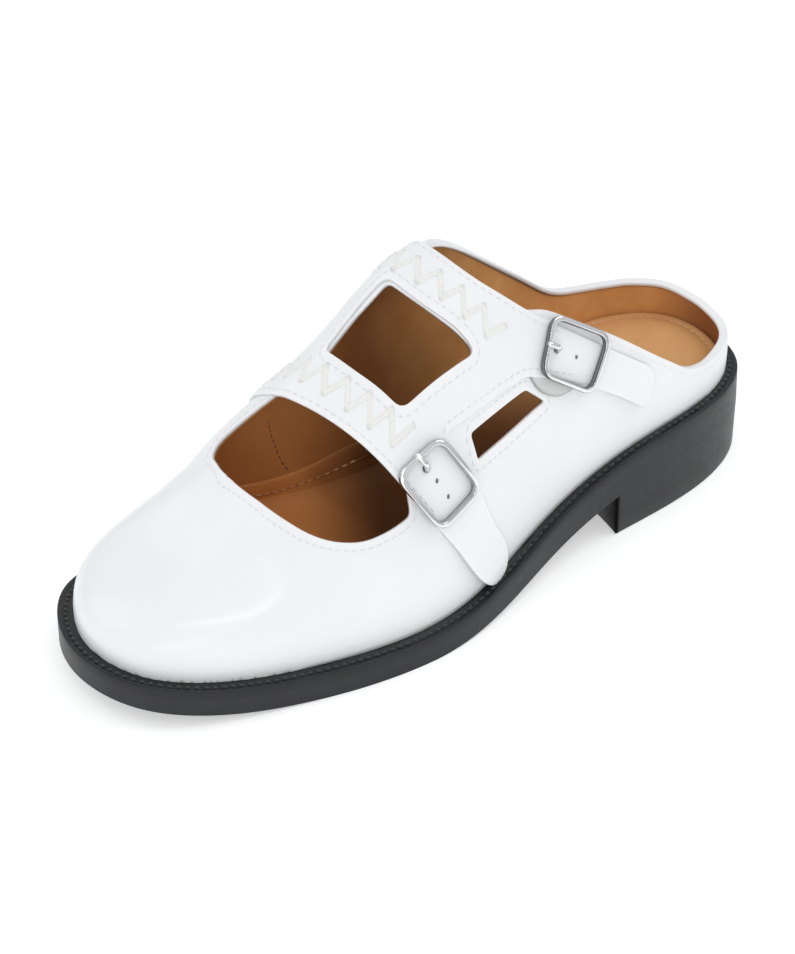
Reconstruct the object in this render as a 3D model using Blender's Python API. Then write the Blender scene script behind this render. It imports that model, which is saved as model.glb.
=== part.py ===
"""White double-buckle mule loafer, left shoe, about European size 39.

The shoe is built the way a maker builds it.  Each leather piece is cut flat at its
real thickness, in a pattern laid out along the last, and the last's own function then
bends it over the foot form.  The pieces of the bottom are cut in plan and bent to the
side profile of the shoe.

Frame: metres, +Z up, toe towards -Y, lateral (buckle) side towards +X, origin on the
floor under the middle of the shoe.  The tables below are in millimetres.
"""
import math

import bmesh
import bpy
import numpy as np

# ---------------------------------------------------------------- driving dimensions
MM = 0.001
GAP = 0.3               # clearance between two pieces that touch
LAP_GAP = 0.45          # the same under the strap panel, where curved facets cross
WALL = 2.2              # upper leather together with its lining
STRAP = 1.3             # leather of the strap panel laid over the upper
WELT = 3.0              # thickness of the welt
INSOLE = 3.0            # thickness of the insole
LEDGE_FORE = 5.4        # welt showing outside the upper at the forefoot
LEDGE_HEEL = 4.2        # and around the heel
LEDGE_BLEND = (60.0, 120.0)     # stations between which the ledge widens
WELT_WIDTH = 10.2       # width of the welt strip at the forefoot
HEEL_TAPER = 0.4        # how far the heel stands in at the floor
BREAST = 78.2           # station of the heel's front face at its two edges
BREAST_HOLLOW = 3.5     # how far that face is hollowed at the middle

# The flat pattern is a stadium: p runs along the crest from the centre of the heel fan
# to the centre of the toe fan, q runs across it from the crest to the feather edge.
HALF_GIRTH = 85.0
HEEL_FAN = 35.0         # station of the point where the heel's ribs meet
TOE_FAN = 205.0         # station of the point where the toe's ribs meet
SPINE = TOE_FAN - HEEL_FAN
FULLNESS = 26.0         # least half breadth of the instep's curve over the narrow waist
RINGS = 14              # rows of cells from the crest to the feather edge
RIBS_STRAIGHT = 24      # columns of cells along the crest
RIBS_TOE = 18
RIBS_HEEL = 16

# Plan outline of the sole, from the back of the heel up the lateral side to the toe
# and back down the medial side: (station from the back, offset, lateral positive).
SOLE_OUTLINE = (
    (3.3, 0.1), (9.2, 20.2), (35.2, 34.6), (76.3, 38.9), (109.1, 43.0),
    (151.7, 53.3), (186.2, 52.4), (213.7, 46.1), (245.2, 35.4), (263.4, 20.7),
    (269.3, -2.5), (262.0, -24.2), (247.4, -39.0), (221.2, -45.5), (197.0, -45.8),
    (164.5, -37.3), (125.2, -27.0), (80.7, -29.3), (36.4, -32.9), (10.2, -20.2),
)

# Sections of the last.  feather: height of the upper's bottom edge; edge: thickness of
# welt and sole below it; crest, centre: height and offset of the crest; rise, crown:
# how far up the wall and how far out from the crest the section stays full;
# lateral, medial: swell of the wall beyond the feather edge.
SECTION_COLUMNS = ("station", "feather", "edge", "crest", "centre", "rise", "crown", "lateral", "medial")
SECTIONS = (
    (0.0,   31.3, 12.5,  82.9,   0.3, 0.63, 0.52, 2.6, 2.0),
    (30.0,  32.0, 12.5,  90.6,  -1.4, 0.62, 0.51, 4.0, 3.0),
    (60.0,  31.8, 12.8, 100.4,  -5.3, 0.63, 0.58, 4.4, 2.5),
    (95.0,  24.4, 12.3, 105.0, -11.4, 0.60, 0.61, 3.3, 3.0),
    (130.0, 14.2, 10.4, 105.8, -11.9, 0.56, 0.60, 2.6, 3.9),
    (165.0,  9.8,  9.8,  85.3,  -7.7, 0.53, 0.60, 2.3, 3.9),
    (195.0,  9.8,  9.8,  67.4,  -6.8, 0.53, 0.59, 3.0, 2.8),
    (220.0, 10.8,  9.8,  45.3,  -4.8, 0.55, 0.55, 3.6, 2.5),
    (245.0, 14.1,  9.8,  38.5,  -3.1, 0.59, 0.55, 3.2, 1.3),
    (270.0, 18.9,  9.8,  35.7,  -2.9, 0.60, 0.55, 2.6, 0.0),
)

# Outlines in the flat pattern: (p, q, fillet).  A row whose fillet is None is passed
# smoothly; the others are corners rounded by that radius.
COLLAR = (
    (84.9, 0.8, None), (79.3, 19.0, None), (68.3, 32.4, None), (56.3, 37.5, None),
    (40.7, 49.1, None), (22.6, 62.4, None), (7.0, 70.7, None), (-15.5, 69.6, None),
    (-38.5, 57.5, None), (-59.5, 36.5, None), (-71.0, 10.0, None), (-71.2, -12.0, None),
    (-62.6, -34.8, None), (-42.8, -57.0, None), (-12.0, -69.8, None), (8.6, -70.0, None),
    (19.9, -67.0, None), (31.8, -58.6, None), (46.0, -46.1, None), (59.5, -32.1, None),
    (72.4, -18.2, None),
)
WINDOW = (
    (102.6, 4.8, 3.5), (98.9, 18.9, None), (91.4, 34.5, 3.5), (106.8, 32.6, None),
    (121.2, 29.8, 3.5), (125.8, 16.2, None), (128.1, 4.4, 3.5),
)
VAMP = (
    (130.4, 53.3, 3.0), (130.4, 40.2, None), (134.6, 31.8, None), (138.2, 20.9, None),
    (142.2, 6.9, None), (145.8, -7.2, 2.0), (156.5, -14.1, None), (165.2, -22.6, 4.0),
    (169.2, -11.5, None), (171.1, 1.0, None), (170.9, 16.5, None), (167.6, 31.2, None),
    (162.6, 41.7, None), (155.5, 48.7, None), (146.8, 53.0, None), (138.4, 54.6, None),
)
SLOT = (
    (76.8, 52.1, 2.0), (89.9, 51.2, None), (102.8, 49.8, 1.5),
    (102.3, 56.1, 1.0), (88.0, 57.7, None), (70.5, 57.2, 2.0),
)
PANEL = (
    (83.9, 1.0, None), (78.0, 18.8, None), (67.0, 33.5, None), (58.6, 40.3, None),
    (41.0, 54.2, None), (24.4, 65.6, 5.0), (29.1, 75.4, 5.0), (40.6, 68.4, None),
    (51.7, 62.2, None), (69.2, 51.6, None), (76.5, 48.6, 2.0), (94.0, 47.1, None),
    (112.0, 43.6, 2.0), (105.5, 60.0, None), (100.8, 72.0, None), (91.8, 84.4, 6.0),
    (104.6, 84.4, 6.0), (118.1, 70.1, None), (126.0, 59.1, None), (129.6, 48.8, None),
    (135.9, 31.8, None), (139.5, 21.3, None), (143.7, 7.9, None), (147.0, -6.0, None),
    (147.2, -25.0, None), (141.0, -54.0, None), (133.0, -84.4, 4.0), (84.0, -84.4, 4.0),
    (80.5, -55.0, None), (82.0, -26.0, None),
)
PANEL_WINDOW = (
    (103.8, 1.6, 3.5), (99.8, 18.9, None), (92.4, 33.7, 3.5), (106.8, 31.7, None),
    (120.4, 29.0, 3.5), (125.0, 16.2, None), (127.5, 1.8, 3.5),
)

# Buckles: centre of the frame in the pattern, and a point that the strap runs towards.
BUCKLES = {
    "front": {"centre": (119.6, 51.2), "towards": (115.4, 59.7)},
    "rear": {"centre": (56.2, 50.1), "towards": (46.7, 56.5)},
}
FRAME_LENGTH = 22.3     # along the strap, between the middles of the wire
FRAME_WIDTH = 19.2      # across the strap
FRAME_CORNER = 5.0
WIRE = 1.1              # radius of the frame's wire
PRONG = 0.9             # radius of the prong
PRONG_HOLE = 1.5        # radius of its hole in the strap
PRONG_REACH = 4.8       # from the hole to the frame's instep bar
FRAME_OUT = LAP_GAP + STRAP + GAP + WIRE    # middle of the wire above the upper


# ---------------------------------------------------------------- curves and sections
def cubic(xs, ys, closed=False):
    """Smooth cubic through the rows (ys may have several columns), as a function."""
    x = np.asarray(xs, float)
    y = np.asarray(ys, float).reshape(len(x), -1)
    count = len(x)
    step = np.diff(x)
    slope = np.diff(y, axis=0) / step[:, None]
    matrix = np.zeros((count, count))
    right = np.zeros_like(y)
    for i in range(1, count - 1):
        matrix[i, i - 1:i + 2] = step[i - 1], 2 * (step[i - 1] + step[i]), step[i]
        right[i] = 6 * (slope[i] - slope[i - 1])
    matrix[0, 0] = matrix[-1, -1] = 1
    if closed:
        matrix[0, [0, 1, count - 2]] = 2 * (step[0] + step[-1]), step[0], step[-1]
        right[0] = 6 * (slope[0] - slope[-1])
        matrix[-1, 0] = -1
    bend = np.linalg.solve(matrix, right)

    def value(at):
        at = np.clip(np.asarray(at, float), x[0], x[-1])
        k = np.clip(np.searchsorted(x, at, side="right") - 1, 0, count - 2)
        b = (at - x[k]) / step[k]
        a = 1 - b
        square = (step[k] ** 2 / 6)[..., None]
        curve = (a ** 3 - a)[..., None] * bend[k] + (b ** 3 - b)[..., None] * bend[k + 1]
        out = a[..., None] * y[k] + b[..., None] * y[k + 1] + square * curve
        return out[..., 0] if np.ndim(ys) == 1 else out
    return value


def loop_points(rows, count):
    """Points spread along a smooth closed curve through the rows."""
    ring = np.array(list(rows) + [rows[0]], float)
    chords = np.linalg.norm(np.diff(ring, axis=0), axis=1) ** 0.7
    knots = np.concatenate([[0], np.cumsum(chords)])
    return cubic(knots, ring, True)(np.linspace(0, knots[-1], count, endpoint=False))


def even(points, count, closed=False):
    """The same polyline with its points evenly spaced."""
    line = np.vstack([points, points[:1]]) if closed else np.asarray(points)
    run = np.concatenate([[0], np.cumsum(np.linalg.norm(np.diff(line, axis=0), axis=1))])
    at = np.linspace(0, run[-1], count, endpoint=not closed)
    return np.stack([np.interp(at, run, line[:, k]) for k in range(line.shape[1])], axis=1)


def outline(rows, spacing=6.0):
    """Closed polygon through rows of (x, y, fillet), with its corners rounded."""
    corners = [i for i, row in enumerate(rows) if row[2] is not None]
    if not corners:
        fine = loop_points([row[:2] for row in rows], 600)
        length = np.linalg.norm(np.diff(fine, axis=0), axis=1).sum()
        return even(fine, int(length / spacing), closed=True)
    sides = []
    for here, after in zip(corners, corners[1:] + [corners[0] + len(rows)]):
        side = np.array([rows[i % len(rows)][:2] for i in range(here, after + 1)], float)
        run = np.concatenate([[0], np.cumsum(np.linalg.norm(np.diff(side, axis=0), axis=1))])
        fine = cubic(run, side)(np.linspace(0, run[-1], 200))
        start = rows[here][2] / run[-1]
        stop = 1 - rows[after % len(rows)][2] / run[-1]
        fine = fine[int(start * 199):int(math.ceil(stop * 199)) + 1]
        sides.append(even(fine, max(2, int(run[-1] * (stop - start) / spacing) + 1)))
    points = []
    for k, side in enumerate(sides):
        corner = np.array(rows[corners[(k + 1) % len(corners)]][:2], float)
        follow = sides[(k + 1) % len(sides)][0]
        points.extend(side)
        for t in (0.25, 0.5, 0.75):
            points.append((1 - t) ** 2 * side[-1] + 2 * t * (1 - t) * corner + t * t * follow)
    return np.array(points)


SECTION = {
    name: cubic([row[0] for row in SECTIONS], [row[k] for row in SECTIONS])
    for k, name in enumerate(SECTION_COLUMNS)
}
SOLE = loop_points(SOLE_OUTLINE, 720)
MIDDLE = (SOLE.max(axis=0) + SOLE.min(axis=0)) / 2


def ledge(station):
    """Width of the welt that shows outside the upper."""
    blend = np.clip((station - LEDGE_BLEND[0]) / (LEDGE_BLEND[1] - LEDGE_BLEND[0]), 0, 1)
    return LEDGE_HEEL + (LEDGE_FORE - LEDGE_HEEL) * blend


def inset(points, width):
    """Closed outline moved inwards by a width, one value or one for each point."""
    along = np.roll(points, -1, axis=0) - np.roll(points, 1, axis=0)
    normal = np.stack([along[:, 1], -along[:, 0]], axis=1)
    normal /= np.linalg.norm(normal, axis=1, keepdims=True)
    if ((points - points.mean(axis=0)) * normal).sum() < 0:
        normal = -normal
    return points - normal * np.reshape(width, (-1, 1))


FEATHER = inset(SOLE, ledge(SOLE[:, 0]))


def under_sole(station):
    """Height of the sole's underside: on the floor under the ball of the foot."""
    return np.maximum(SECTION["feather"](station) - SECTION["edge"](station), 0)


def at_level(level):
    """Side profile that runs a given distance above the upper's bottom edge."""
    return lambda station: SECTION["feather"](station) + level


def world(station, offset, height):
    """Shoe sizes in millimetres to a point in the world, in metres."""
    return np.stack([offset - MIDDLE[1], MIDDLE[0] - station, height], axis=-1) * MM


# ---------------------------------------------------------------- the last
def halves(points):
    """Offset of the outline's lateral and medial side, as functions of the station."""
    back = points[:, 0].argmin()
    ring = np.roll(points, -back, axis=0)
    toe = ring[:, 0].argmax()
    lateral = ring[:toe + 1]
    medial = np.vstack([ring[toe:], ring[:1]])[::-1]
    return (lambda s: np.interp(s, lateral[:, 0], lateral[:, 1]),
            lambda s: np.interp(s, medial[:, 0], medial[:, 1]))


def fan(points, station, forward):
    """Distance from a fan's centre to the outline, as a function of the rib's angle."""
    away = (points - [station, SECTION["centre"](station)]) * [forward, 1]
    angle = np.arctan2(away[:, 0], away[:, 1])
    order = np.argsort(angle)
    turns = np.concatenate([angle[order] + turn * 2 * math.pi for turn in (-1, 0, 1)])
    reach = np.tile(np.hypot(*away[order].T), 3)
    return lambda theta: np.interp(theta, turns, reach)


LATERAL_FOOT, MEDIAL_FOOT = halves(FEATHER)
TOE_REACH = fan(FEATHER, TOE_FAN, 1)
HEEL_REACH = fan(FEATHER, HEEL_FAN, -1)


def last_point(p, q):
    """Pattern point to the outer face of the upper: (station, offset, height).

    Each rib is a cubic Bezier curve from its foot on the feather edge to the crest."""
    on_spine = np.clip(p, 0, SPINE)
    crest_s = HEEL_FAN + on_spine
    crest_x = SECTION["centre"](crest_s)
    crest_z = SECTION["crest"](crest_s)
    past = p - on_spine
    theta = np.arctan2(np.abs(past), q)
    reach = np.where(past > 0, TOE_REACH(theta), HEEL_REACH(theta))
    straight_x = np.where(q >= 0, LATERAL_FOOT(crest_s), MEDIAL_FOOT(crest_s))
    foot_s = np.where(past == 0, crest_s, crest_s + np.sign(past) * reach * np.sin(theta))
    foot_x = np.where(past == 0, straight_x, crest_x + reach * np.cos(theta))
    foot_z = SECTION["feather"](foot_s)
    run = np.stack([foot_s - crest_s, foot_x - crest_x], axis=-1)
    side = (1 + q / np.maximum(np.hypot(past, q), 1e-6)) / 2
    swell = side * SECTION["lateral"](foot_s) + (1 - side) * SECTION["medial"](foot_s)
    breadth = np.linalg.norm(run, axis=-1, keepdims=True) + 1e-9
    outward = run / breadth * swell[..., None]
    crown = SECTION["crown"](foot_s)[..., None] * (breadth ** 4 + FULLNESS ** 4) ** 0.25 / breadth
    slope = (SECTION["crest"](crest_s + 1) - SECTION["crest"](crest_s - 1)) / 2
    foot = np.stack([foot_s, foot_x, foot_z], axis=-1)
    crest = np.stack([crest_s, crest_x, crest_z], axis=-1)
    lift = SECTION["rise"](foot_s) * (crest_z - foot_z)
    wall = foot + np.concatenate([outward, lift[..., None]], axis=-1)
    shoulder = crest + np.concatenate([run, (slope * run[..., 0])[..., None]], axis=-1) * crown
    t = (1 - np.hypot(past, q) / HALF_GIRTH)[..., None]
    u = 1 - t
    return u ** 3 * foot + 3 * u * u * t * wall + 3 * u * t * t * shoulder + t ** 3 * crest


def on_last(p, q, out=0.0):
    """World point, in metres, at a distance out of the upper's outer face."""
    p, q, out = np.broadcast_arrays(*(np.asarray(v, float) for v in (p, q, out)))
    nudge = 0.02
    along = last_point(p + nudge, q) - last_point(p - nudge, q)
    across = last_point(p, q + nudge) - last_point(p, q - nudge)
    normal = np.cross(along, across)
    normal /= np.linalg.norm(normal, axis=-1, keepdims=True)
    place = last_point(p, q) + normal * out[..., None]
    return world(place[..., 0], place[..., 1], place[..., 2])


def seat(buckle, layout):
    """Lay flat points (u along the strap, v across it, in mm) on the last, as pattern points."""
    centre = np.array(buckle["centre"])
    origin = on_last(*centre)
    normal = on_last(*centre, 1.0) - origin
    along = on_last(*buckle["towards"]) - origin
    along -= normal * (along @ normal) / (normal @ normal)
    across = np.cross(normal, along)
    axes = np.stack([along / np.linalg.norm(along), across / np.linalg.norm(across)]) / MM
    columns = [axes @ (on_last(*(centre + step)) - origin) for step in ((1.0, 0.0), (0.0, 1.0))]
    inverse = np.linalg.inv(np.stack(columns, axis=1))
    layout = np.asarray(layout, float)
    pattern = centre + layout @ inverse.T
    for _ in range(8):
        here = (on_last(pattern[:, 0], pattern[:, 1]) - origin) @ axes.T
        pattern += (layout - here) @ inverse.T
    return pattern


# ---------------------------------------------------------------- building blocks
def collection(name):
    group = bpy.data.collections.new(name)
    bpy.context.scene.collection.children.link(group)
    return group


def material(name, colour, roughness, metallic=0.0):
    made = bpy.data.materials.new(name)
    made.use_nodes = True
    shader = made.node_tree.nodes["Principled BSDF"]
    shader.inputs["Base Color"].default_value = (*colour, 1.0)
    shader.inputs["Roughness"].default_value = roughness
    shader.inputs["Metallic"].default_value = metallic
    return made


def add_object(name, mesh, group, finish=None):
    made = bpy.data.objects.new(name, mesh)
    group.objects.link(made)
    if finish:
        mesh.materials.clear()
        mesh.materials.append(finish)
    return made


def face_outwards(bm):
    bmesh.ops.recalc_face_normals(bm, faces=bm.faces)
    if bm.calc_volume(signed=True) < 0:
        bmesh.ops.reverse_faces(bm, faces=bm.faces)


def mesh_from(bm, name):
    face_outwards(bm)
    mesh = bpy.data.meshes.new(name)
    bm.to_mesh(mesh)
    bm.free()
    return mesh


def flat_face(points):
    """A bmesh with one flat face at height 0."""
    bm = bmesh.new()
    bm.faces.new([bm.verts.new((x, y, 0.0)) for x, y in points])
    return bm


def thicken(bm, low, high):
    """Turn a flat sheet at height 0 into a closed plate from low to high."""
    top = bmesh.ops.extrude_face_region(bm, geom=bm.faces[:])
    raised = {v for v in top["geom"] if isinstance(v, bmesh.types.BMVert)}
    for vert in bm.verts:
        vert.co.z = high if vert in raised else low


def prism(name, points, low, high, group):
    """A straight-sided cutter with the given outline."""
    bm = flat_face(points)
    thicken(bm, low, high)
    cutter = add_object(name, mesh_from(bm, name), group)
    cutter.hide_render = True
    cutter.display_type = "WIRE"
    return cutter


def pattern_ribs():
    """Ribs around the stadium: (p of the rib's top end, direction p, direction q)."""
    ribs = [(p, 0.0, 1.0) for p in np.linspace(0, SPINE, RIBS_STRAIGHT + 1)]
    for angle in np.linspace(0, math.pi, RIBS_TOE + 1)[1:-1]:
        ribs.append((SPINE, math.sin(angle), math.cos(angle)))
    ribs += [(p, 0.0, -1.0) for p in np.linspace(SPINE, 0, RIBS_STRAIGHT + 1)]
    for angle in np.linspace(math.pi, 0, RIBS_HEEL + 1)[1:-1]:
        ribs.append((0.0, -math.sin(angle), math.cos(angle)))
    return ribs


def pattern_blank(name, low, high, group):
    """The whole flat pattern as a plate of cells along its ribs and rings."""
    bm = bmesh.new()
    radii = np.linspace(0, HALF_GIRTH, RINGS + 1)
    rows = [[bm.verts.new((p + dp * r, dq * r, 0.0)) for r in radii] for p, dp, dq in pattern_ribs()]
    for row, after in zip(rows, rows[1:] + rows[:1]):
        for ring in range(RINGS):
            bm.faces.new((row[ring], row[ring + 1], after[ring + 1], after[ring]))
    bmesh.ops.remove_doubles(bm, verts=bm.verts, dist=0.01)
    thicken(bm, low, high)
    return add_object(name, mesh_from(bm, name), group)


def lasted(name, blank, cuts, group, finish):
    """Cut a flat blank with Booleans, then bend what is left over the last."""
    for operation, cutter in cuts:
        step = blank.modifiers.new(cutter.name, "BOOLEAN")
        step.operation = operation
        step.object = cutter
        step.solver = "EXACT"
    depsgraph = bpy.context.evaluated_depsgraph_get()
    mesh = bpy.data.meshes.new_from_object(blank.evaluated_get(depsgraph))
    mesh.name = name
    bpy.data.objects.remove(blank)
    bm = bmesh.new()
    bm.from_mesh(mesh)
    bmesh.ops.remove_doubles(bm, verts=bm.verts, dist=0.02)
    bmesh.ops.triangulate(bm, faces=[face for face in bm.faces if len(face.verts) > 4])
    flat = np.array([vert.co for vert in bm.verts])
    for vert, place in zip(bm.verts, on_last(flat[:, 0], flat[:, 1], flat[:, 2])):
        vert.co = place
    face_outwards(bm)
    bm.to_mesh(mesh)
    bm.free()
    made = add_object(name, mesh, group, finish)
    mesh.shade_smooth()
    mesh.set_sharp_from_angle(angle=math.radians(40))
    return made


def crossed(bm, stations):
    """Cut a plan sheet across at each station, so that it can bend there."""
    for station in stations:
        bmesh.ops.bisect_plane(bm, geom=bm.verts[:] + bm.edges[:] + bm.faces[:], dist=0.05,
                               plane_co=(station, 0, 0), plane_no=(1, 0, 0))


def bent(bm, low, high):
    """Thicken a plan sheet in (station, offset) between two side profiles."""
    top = bmesh.ops.extrude_face_region(bm, geom=bm.faces[:])
    raised = {v for v in top["geom"] if isinstance(v, bmesh.types.BMVert)}
    for vert in bm.verts:
        station, offset = vert.co.x, vert.co.y
        profile = high if vert in raised else low
        vert.co = world(station, offset, float(profile(station)))


STATIONS = np.concatenate([np.linspace(8, 176, 22), np.linspace(184, 264, 11)])


# ---------------------------------------------------------------- the upper
def make_upper(parts, cutters):
    blank = pattern_blank("upper_blank", -WALL, 0.0, parts)
    cuts = [("DIFFERENCE", prism(name, outline(rows), -WALL - 1, 1.0, cutters))
            for name, rows in (("collar_cut", COLLAR), ("window_cut", WINDOW),
                               ("vamp_cut", VAMP), ("slot_cut", SLOT))]
    return lasted("upper", blank, cuts, parts, material("white_leather", (0.82, 0.83, 0.84), 0.35))


def make_strap_panel(parts, cutters):
    low, high = LAP_GAP, LAP_GAP + STRAP
    blank = pattern_blank("panel_blank", low, high, parts)
    cuts = [("INTERSECT", prism("panel_cut", outline(PANEL), low - 1, high + 1, cutters)),
            ("DIFFERENCE", prism("panel_window_cut", outline(PANEL_WINDOW), low - 1, high + 1, cutters))]
    turns = np.linspace(0, 2 * math.pi, 8, endpoint=False)
    circle = np.stack([np.cos(turns), np.sin(turns)], axis=1) * PRONG_HOLE
    for place, buckle in BUCKLES.items():
        round_hole = seat(buckle, circle + (PRONG_REACH - FRAME_LENGTH / 2, 0))
        hole = prism(f"prong_hole_cut_{place}", round_hole, low - 1, high + 1, cutters)
        cuts.append(("DIFFERENCE", hole))
    return lasted("strap_panel", blank, cuts, parts, material("strap_leather", (0.82, 0.83, 0.84), 0.33))


# ---------------------------------------------------------------- the bottom
def welt_inner(points):
    """Inner edge of the welt strip."""
    return inset(points, WELT_WIDTH - LEDGE_FORE + ledge(points[:, 0]))


def ring_edges(bm, points):
    """A closed loop of edges at height 0."""
    verts = [bm.verts.new((x, y, 0.0)) for x, y in points]
    return verts, [bm.edges.new(pair) for pair in zip(verts, verts[1:] + verts[:1])]


def annulus(outer, inner):
    """A flat band between two outlines with the same number of points."""
    bm = bmesh.new()
    edges = ring_edges(bm, outer)[1]
    inner_verts, inner_edges = ring_edges(bm, inner)
    bmesh.ops.bridge_loops(bm, edges=edges + inner_edges)
    return bm, inner_verts


def make_outsole(parts):
    """Sole plate with a raised middle that fills the opening of the welt."""
    sole = even(SOLE, 96, closed=True)
    bm, inner_verts = annulus(sole, inset(welt_inner(sole), GAP))
    bm.faces.new(inner_verts).material_index = 1
    crossed(bm, STATIONS)
    thicken(bm, 0, 1)
    middle = [face for face in bm.faces
              if face.material_index == 1 and all(vert.co.z == 1 for vert in face.verts)]
    inner_edges = list({edge for face in middle for edge in face.edges})
    risen = bmesh.ops.extrude_face_region(bm, geom=middle + inner_edges)["geom"]
    for vert in risen:
        if isinstance(vert, bmesh.types.BMVert):
            vert.co.z = 2
    profiles = (under_sole, at_level(-WELT - 2 * GAP), at_level(-GAP))
    for vert in bm.verts:
        profile = profiles[round(vert.co.z)]
        vert.co = world(vert.co.x, vert.co.y, float(profile(vert.co.x)))
    for face in bm.faces:
        face.material_index = 0
    return add_object("outsole", mesh_from(bm, "outsole"), parts,
                      material("black_sole", (0.02, 0.02, 0.022), 0.4))


def make_welt(parts):
    """Flat strip around the feather edge, whose outer part shows as the ledge."""
    sole = even(SOLE, 96, closed=True)
    bm = annulus(sole, welt_inner(sole))[0]
    crossed(bm, STATIONS)
    bent(bm, at_level(-WELT - GAP), at_level(-GAP))
    return add_object("welt", mesh_from(bm, "welt"), parts,
                      material("black_welt", (0.025, 0.025, 0.028), 0.5))


def make_insole(parts):
    """Insole lying on the sole, inside the wall of the upper."""
    clearance = 2 * GAP
    sole = even(SOLE, 80, closed=True)
    bm = flat_face(inset(sole, ledge(sole[:, 0]) + WALL + clearance))
    crossed(bm, STATIONS)
    bent(bm, at_level(0), at_level(INSOLE))
    return add_object("insole", mesh_from(bm, "insole"), parts,
                      material("tan_leather", (0.55, 0.27, 0.10), 0.55))


def make_heel(parts):
    """Heel block under the rear of the sole, tapering slightly to the floor."""
    sole = even(SOLE, 120, closed=True)
    lateral, medial = halves(SOLE)
    rear = sole[sole[:, 0] < BREAST - 2]
    order = np.argsort(np.arctan2(rear[:, 1], rear[:, 0] - BREAST) % (2 * math.pi))
    across = np.linspace(1, -1, 9)
    middle = (lateral(BREAST) + medial(BREAST)) / 2
    half = (lateral(BREAST) - medial(BREAST)) / 2
    face = np.stack([BREAST - BREAST_HOLLOW * (1 - across ** 2), middle + half * across], axis=1)
    bm = flat_face(np.vstack([rear[order], face[::-1]]))
    crossed(bm, [s for s in STATIONS if s < BREAST - BREAST_HOLLOW])
    top = bmesh.ops.extrude_face_region(bm, geom=bm.faces[:])["geom"]
    raised = {vert for vert in top if isinstance(vert, bmesh.types.BMVert)}
    for vert in bm.verts:
        station, offset = vert.co.x, vert.co.y
        if vert in raised:
            vert.co = world(station, offset, float(under_sole(station)) - GAP)
        else:
            drawn = 1 - HEEL_TAPER / half
            vert.co = world(BREAST + (station - BREAST) * drawn, middle + (offset - middle) * drawn, 0.0)
    return add_object("heel", mesh_from(bm, "heel"), parts,
                      material("black_heel", (0.02, 0.02, 0.022), 0.38))


# ---------------------------------------------------------------- the buckles
def wire(name, points, radius, closed, group, finish):
    """A bent round wire through world points."""
    curve = bpy.data.curves.new(name, "CURVE")
    curve.dimensions = "3D"
    curve.bevel_depth = radius * MM
    curve.bevel_resolution = 2
    curve.use_fill_caps = True
    spline = curve.splines.new("POLY")
    spline.points.add(len(points) - 1)
    for point, place in zip(spline.points, points):
        point.co = (*place, 1.0)
    spline.use_cyclic_u = closed
    curve.materials.append(finish)
    made = bpy.data.objects.new(name, curve)
    group.objects.link(made)
    return made


def make_buckle(place, buckle, parts, steel):
    """Frame bent to the strap, and the prong that rests on its instep bar."""
    length, width = FRAME_LENGTH / 2, FRAME_WIDTH / 2
    corners = [(x * length, y * width, FRAME_CORNER) for x, y in ((-1, -1), (1, -1), (1, 1), (-1, 1))]
    laid = seat(buckle, outline(corners, 5.0))
    route = on_last(laid[:, 0], laid[:, 1], FRAME_OUT)
    wire(f"buckle_frame_{place}", route, WIRE, True, parts, steel)
    over = FRAME_OUT + WIRE + GAP + PRONG
    # distance along the strap from the instep bar, and height above the upper
    profile = ((PRONG_REACH, 0.5), (PRONG_REACH, 2.4), (PRONG_REACH - 0.5, over - 1.0),
               (PRONG_REACH - 1.8, over - 0.1), (1.6, over), (0.0, over), (-1.6, over - 0.5))
    laid = seat(buckle, [(away - length, 0.0) for away, _ in profile])
    heights = np.array([height for _, height in profile])
    route = on_last(laid[:, 0], laid[:, 1], heights)
    wire(f"buckle_prong_{place}", route, PRONG, False, parts, steel)


def main():
    for old in list(bpy.data.objects):
        bpy.data.objects.remove(old)
    parts = collection("loafer")
    cutters = collection("cutters")
    make_upper(parts, cutters)
    make_strap_panel(parts, cutters)
    make_outsole(parts)
    make_welt(parts)
    make_insole(parts)
    make_heel(parts)
    steel = material("polished_steel", (0.75, 0.75, 0.76), 0.12, 1.0)
    for place, buckle in BUCKLES.items():
        make_buckle(place, buckle, parts, steel)


main()
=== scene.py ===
# %% [markdown]
# # A white mule loafer with two buckles
# One left shoe, built the way a maker builds it. Each leather piece is cut flat at its real
# thickness, with its rounded edges and stitch channels, and then the last's own function
# bends it over the foot form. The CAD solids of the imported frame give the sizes. The pieces
# made here stand for them and add what a solid lacks: linings, cut edges, thread, seams.

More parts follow.
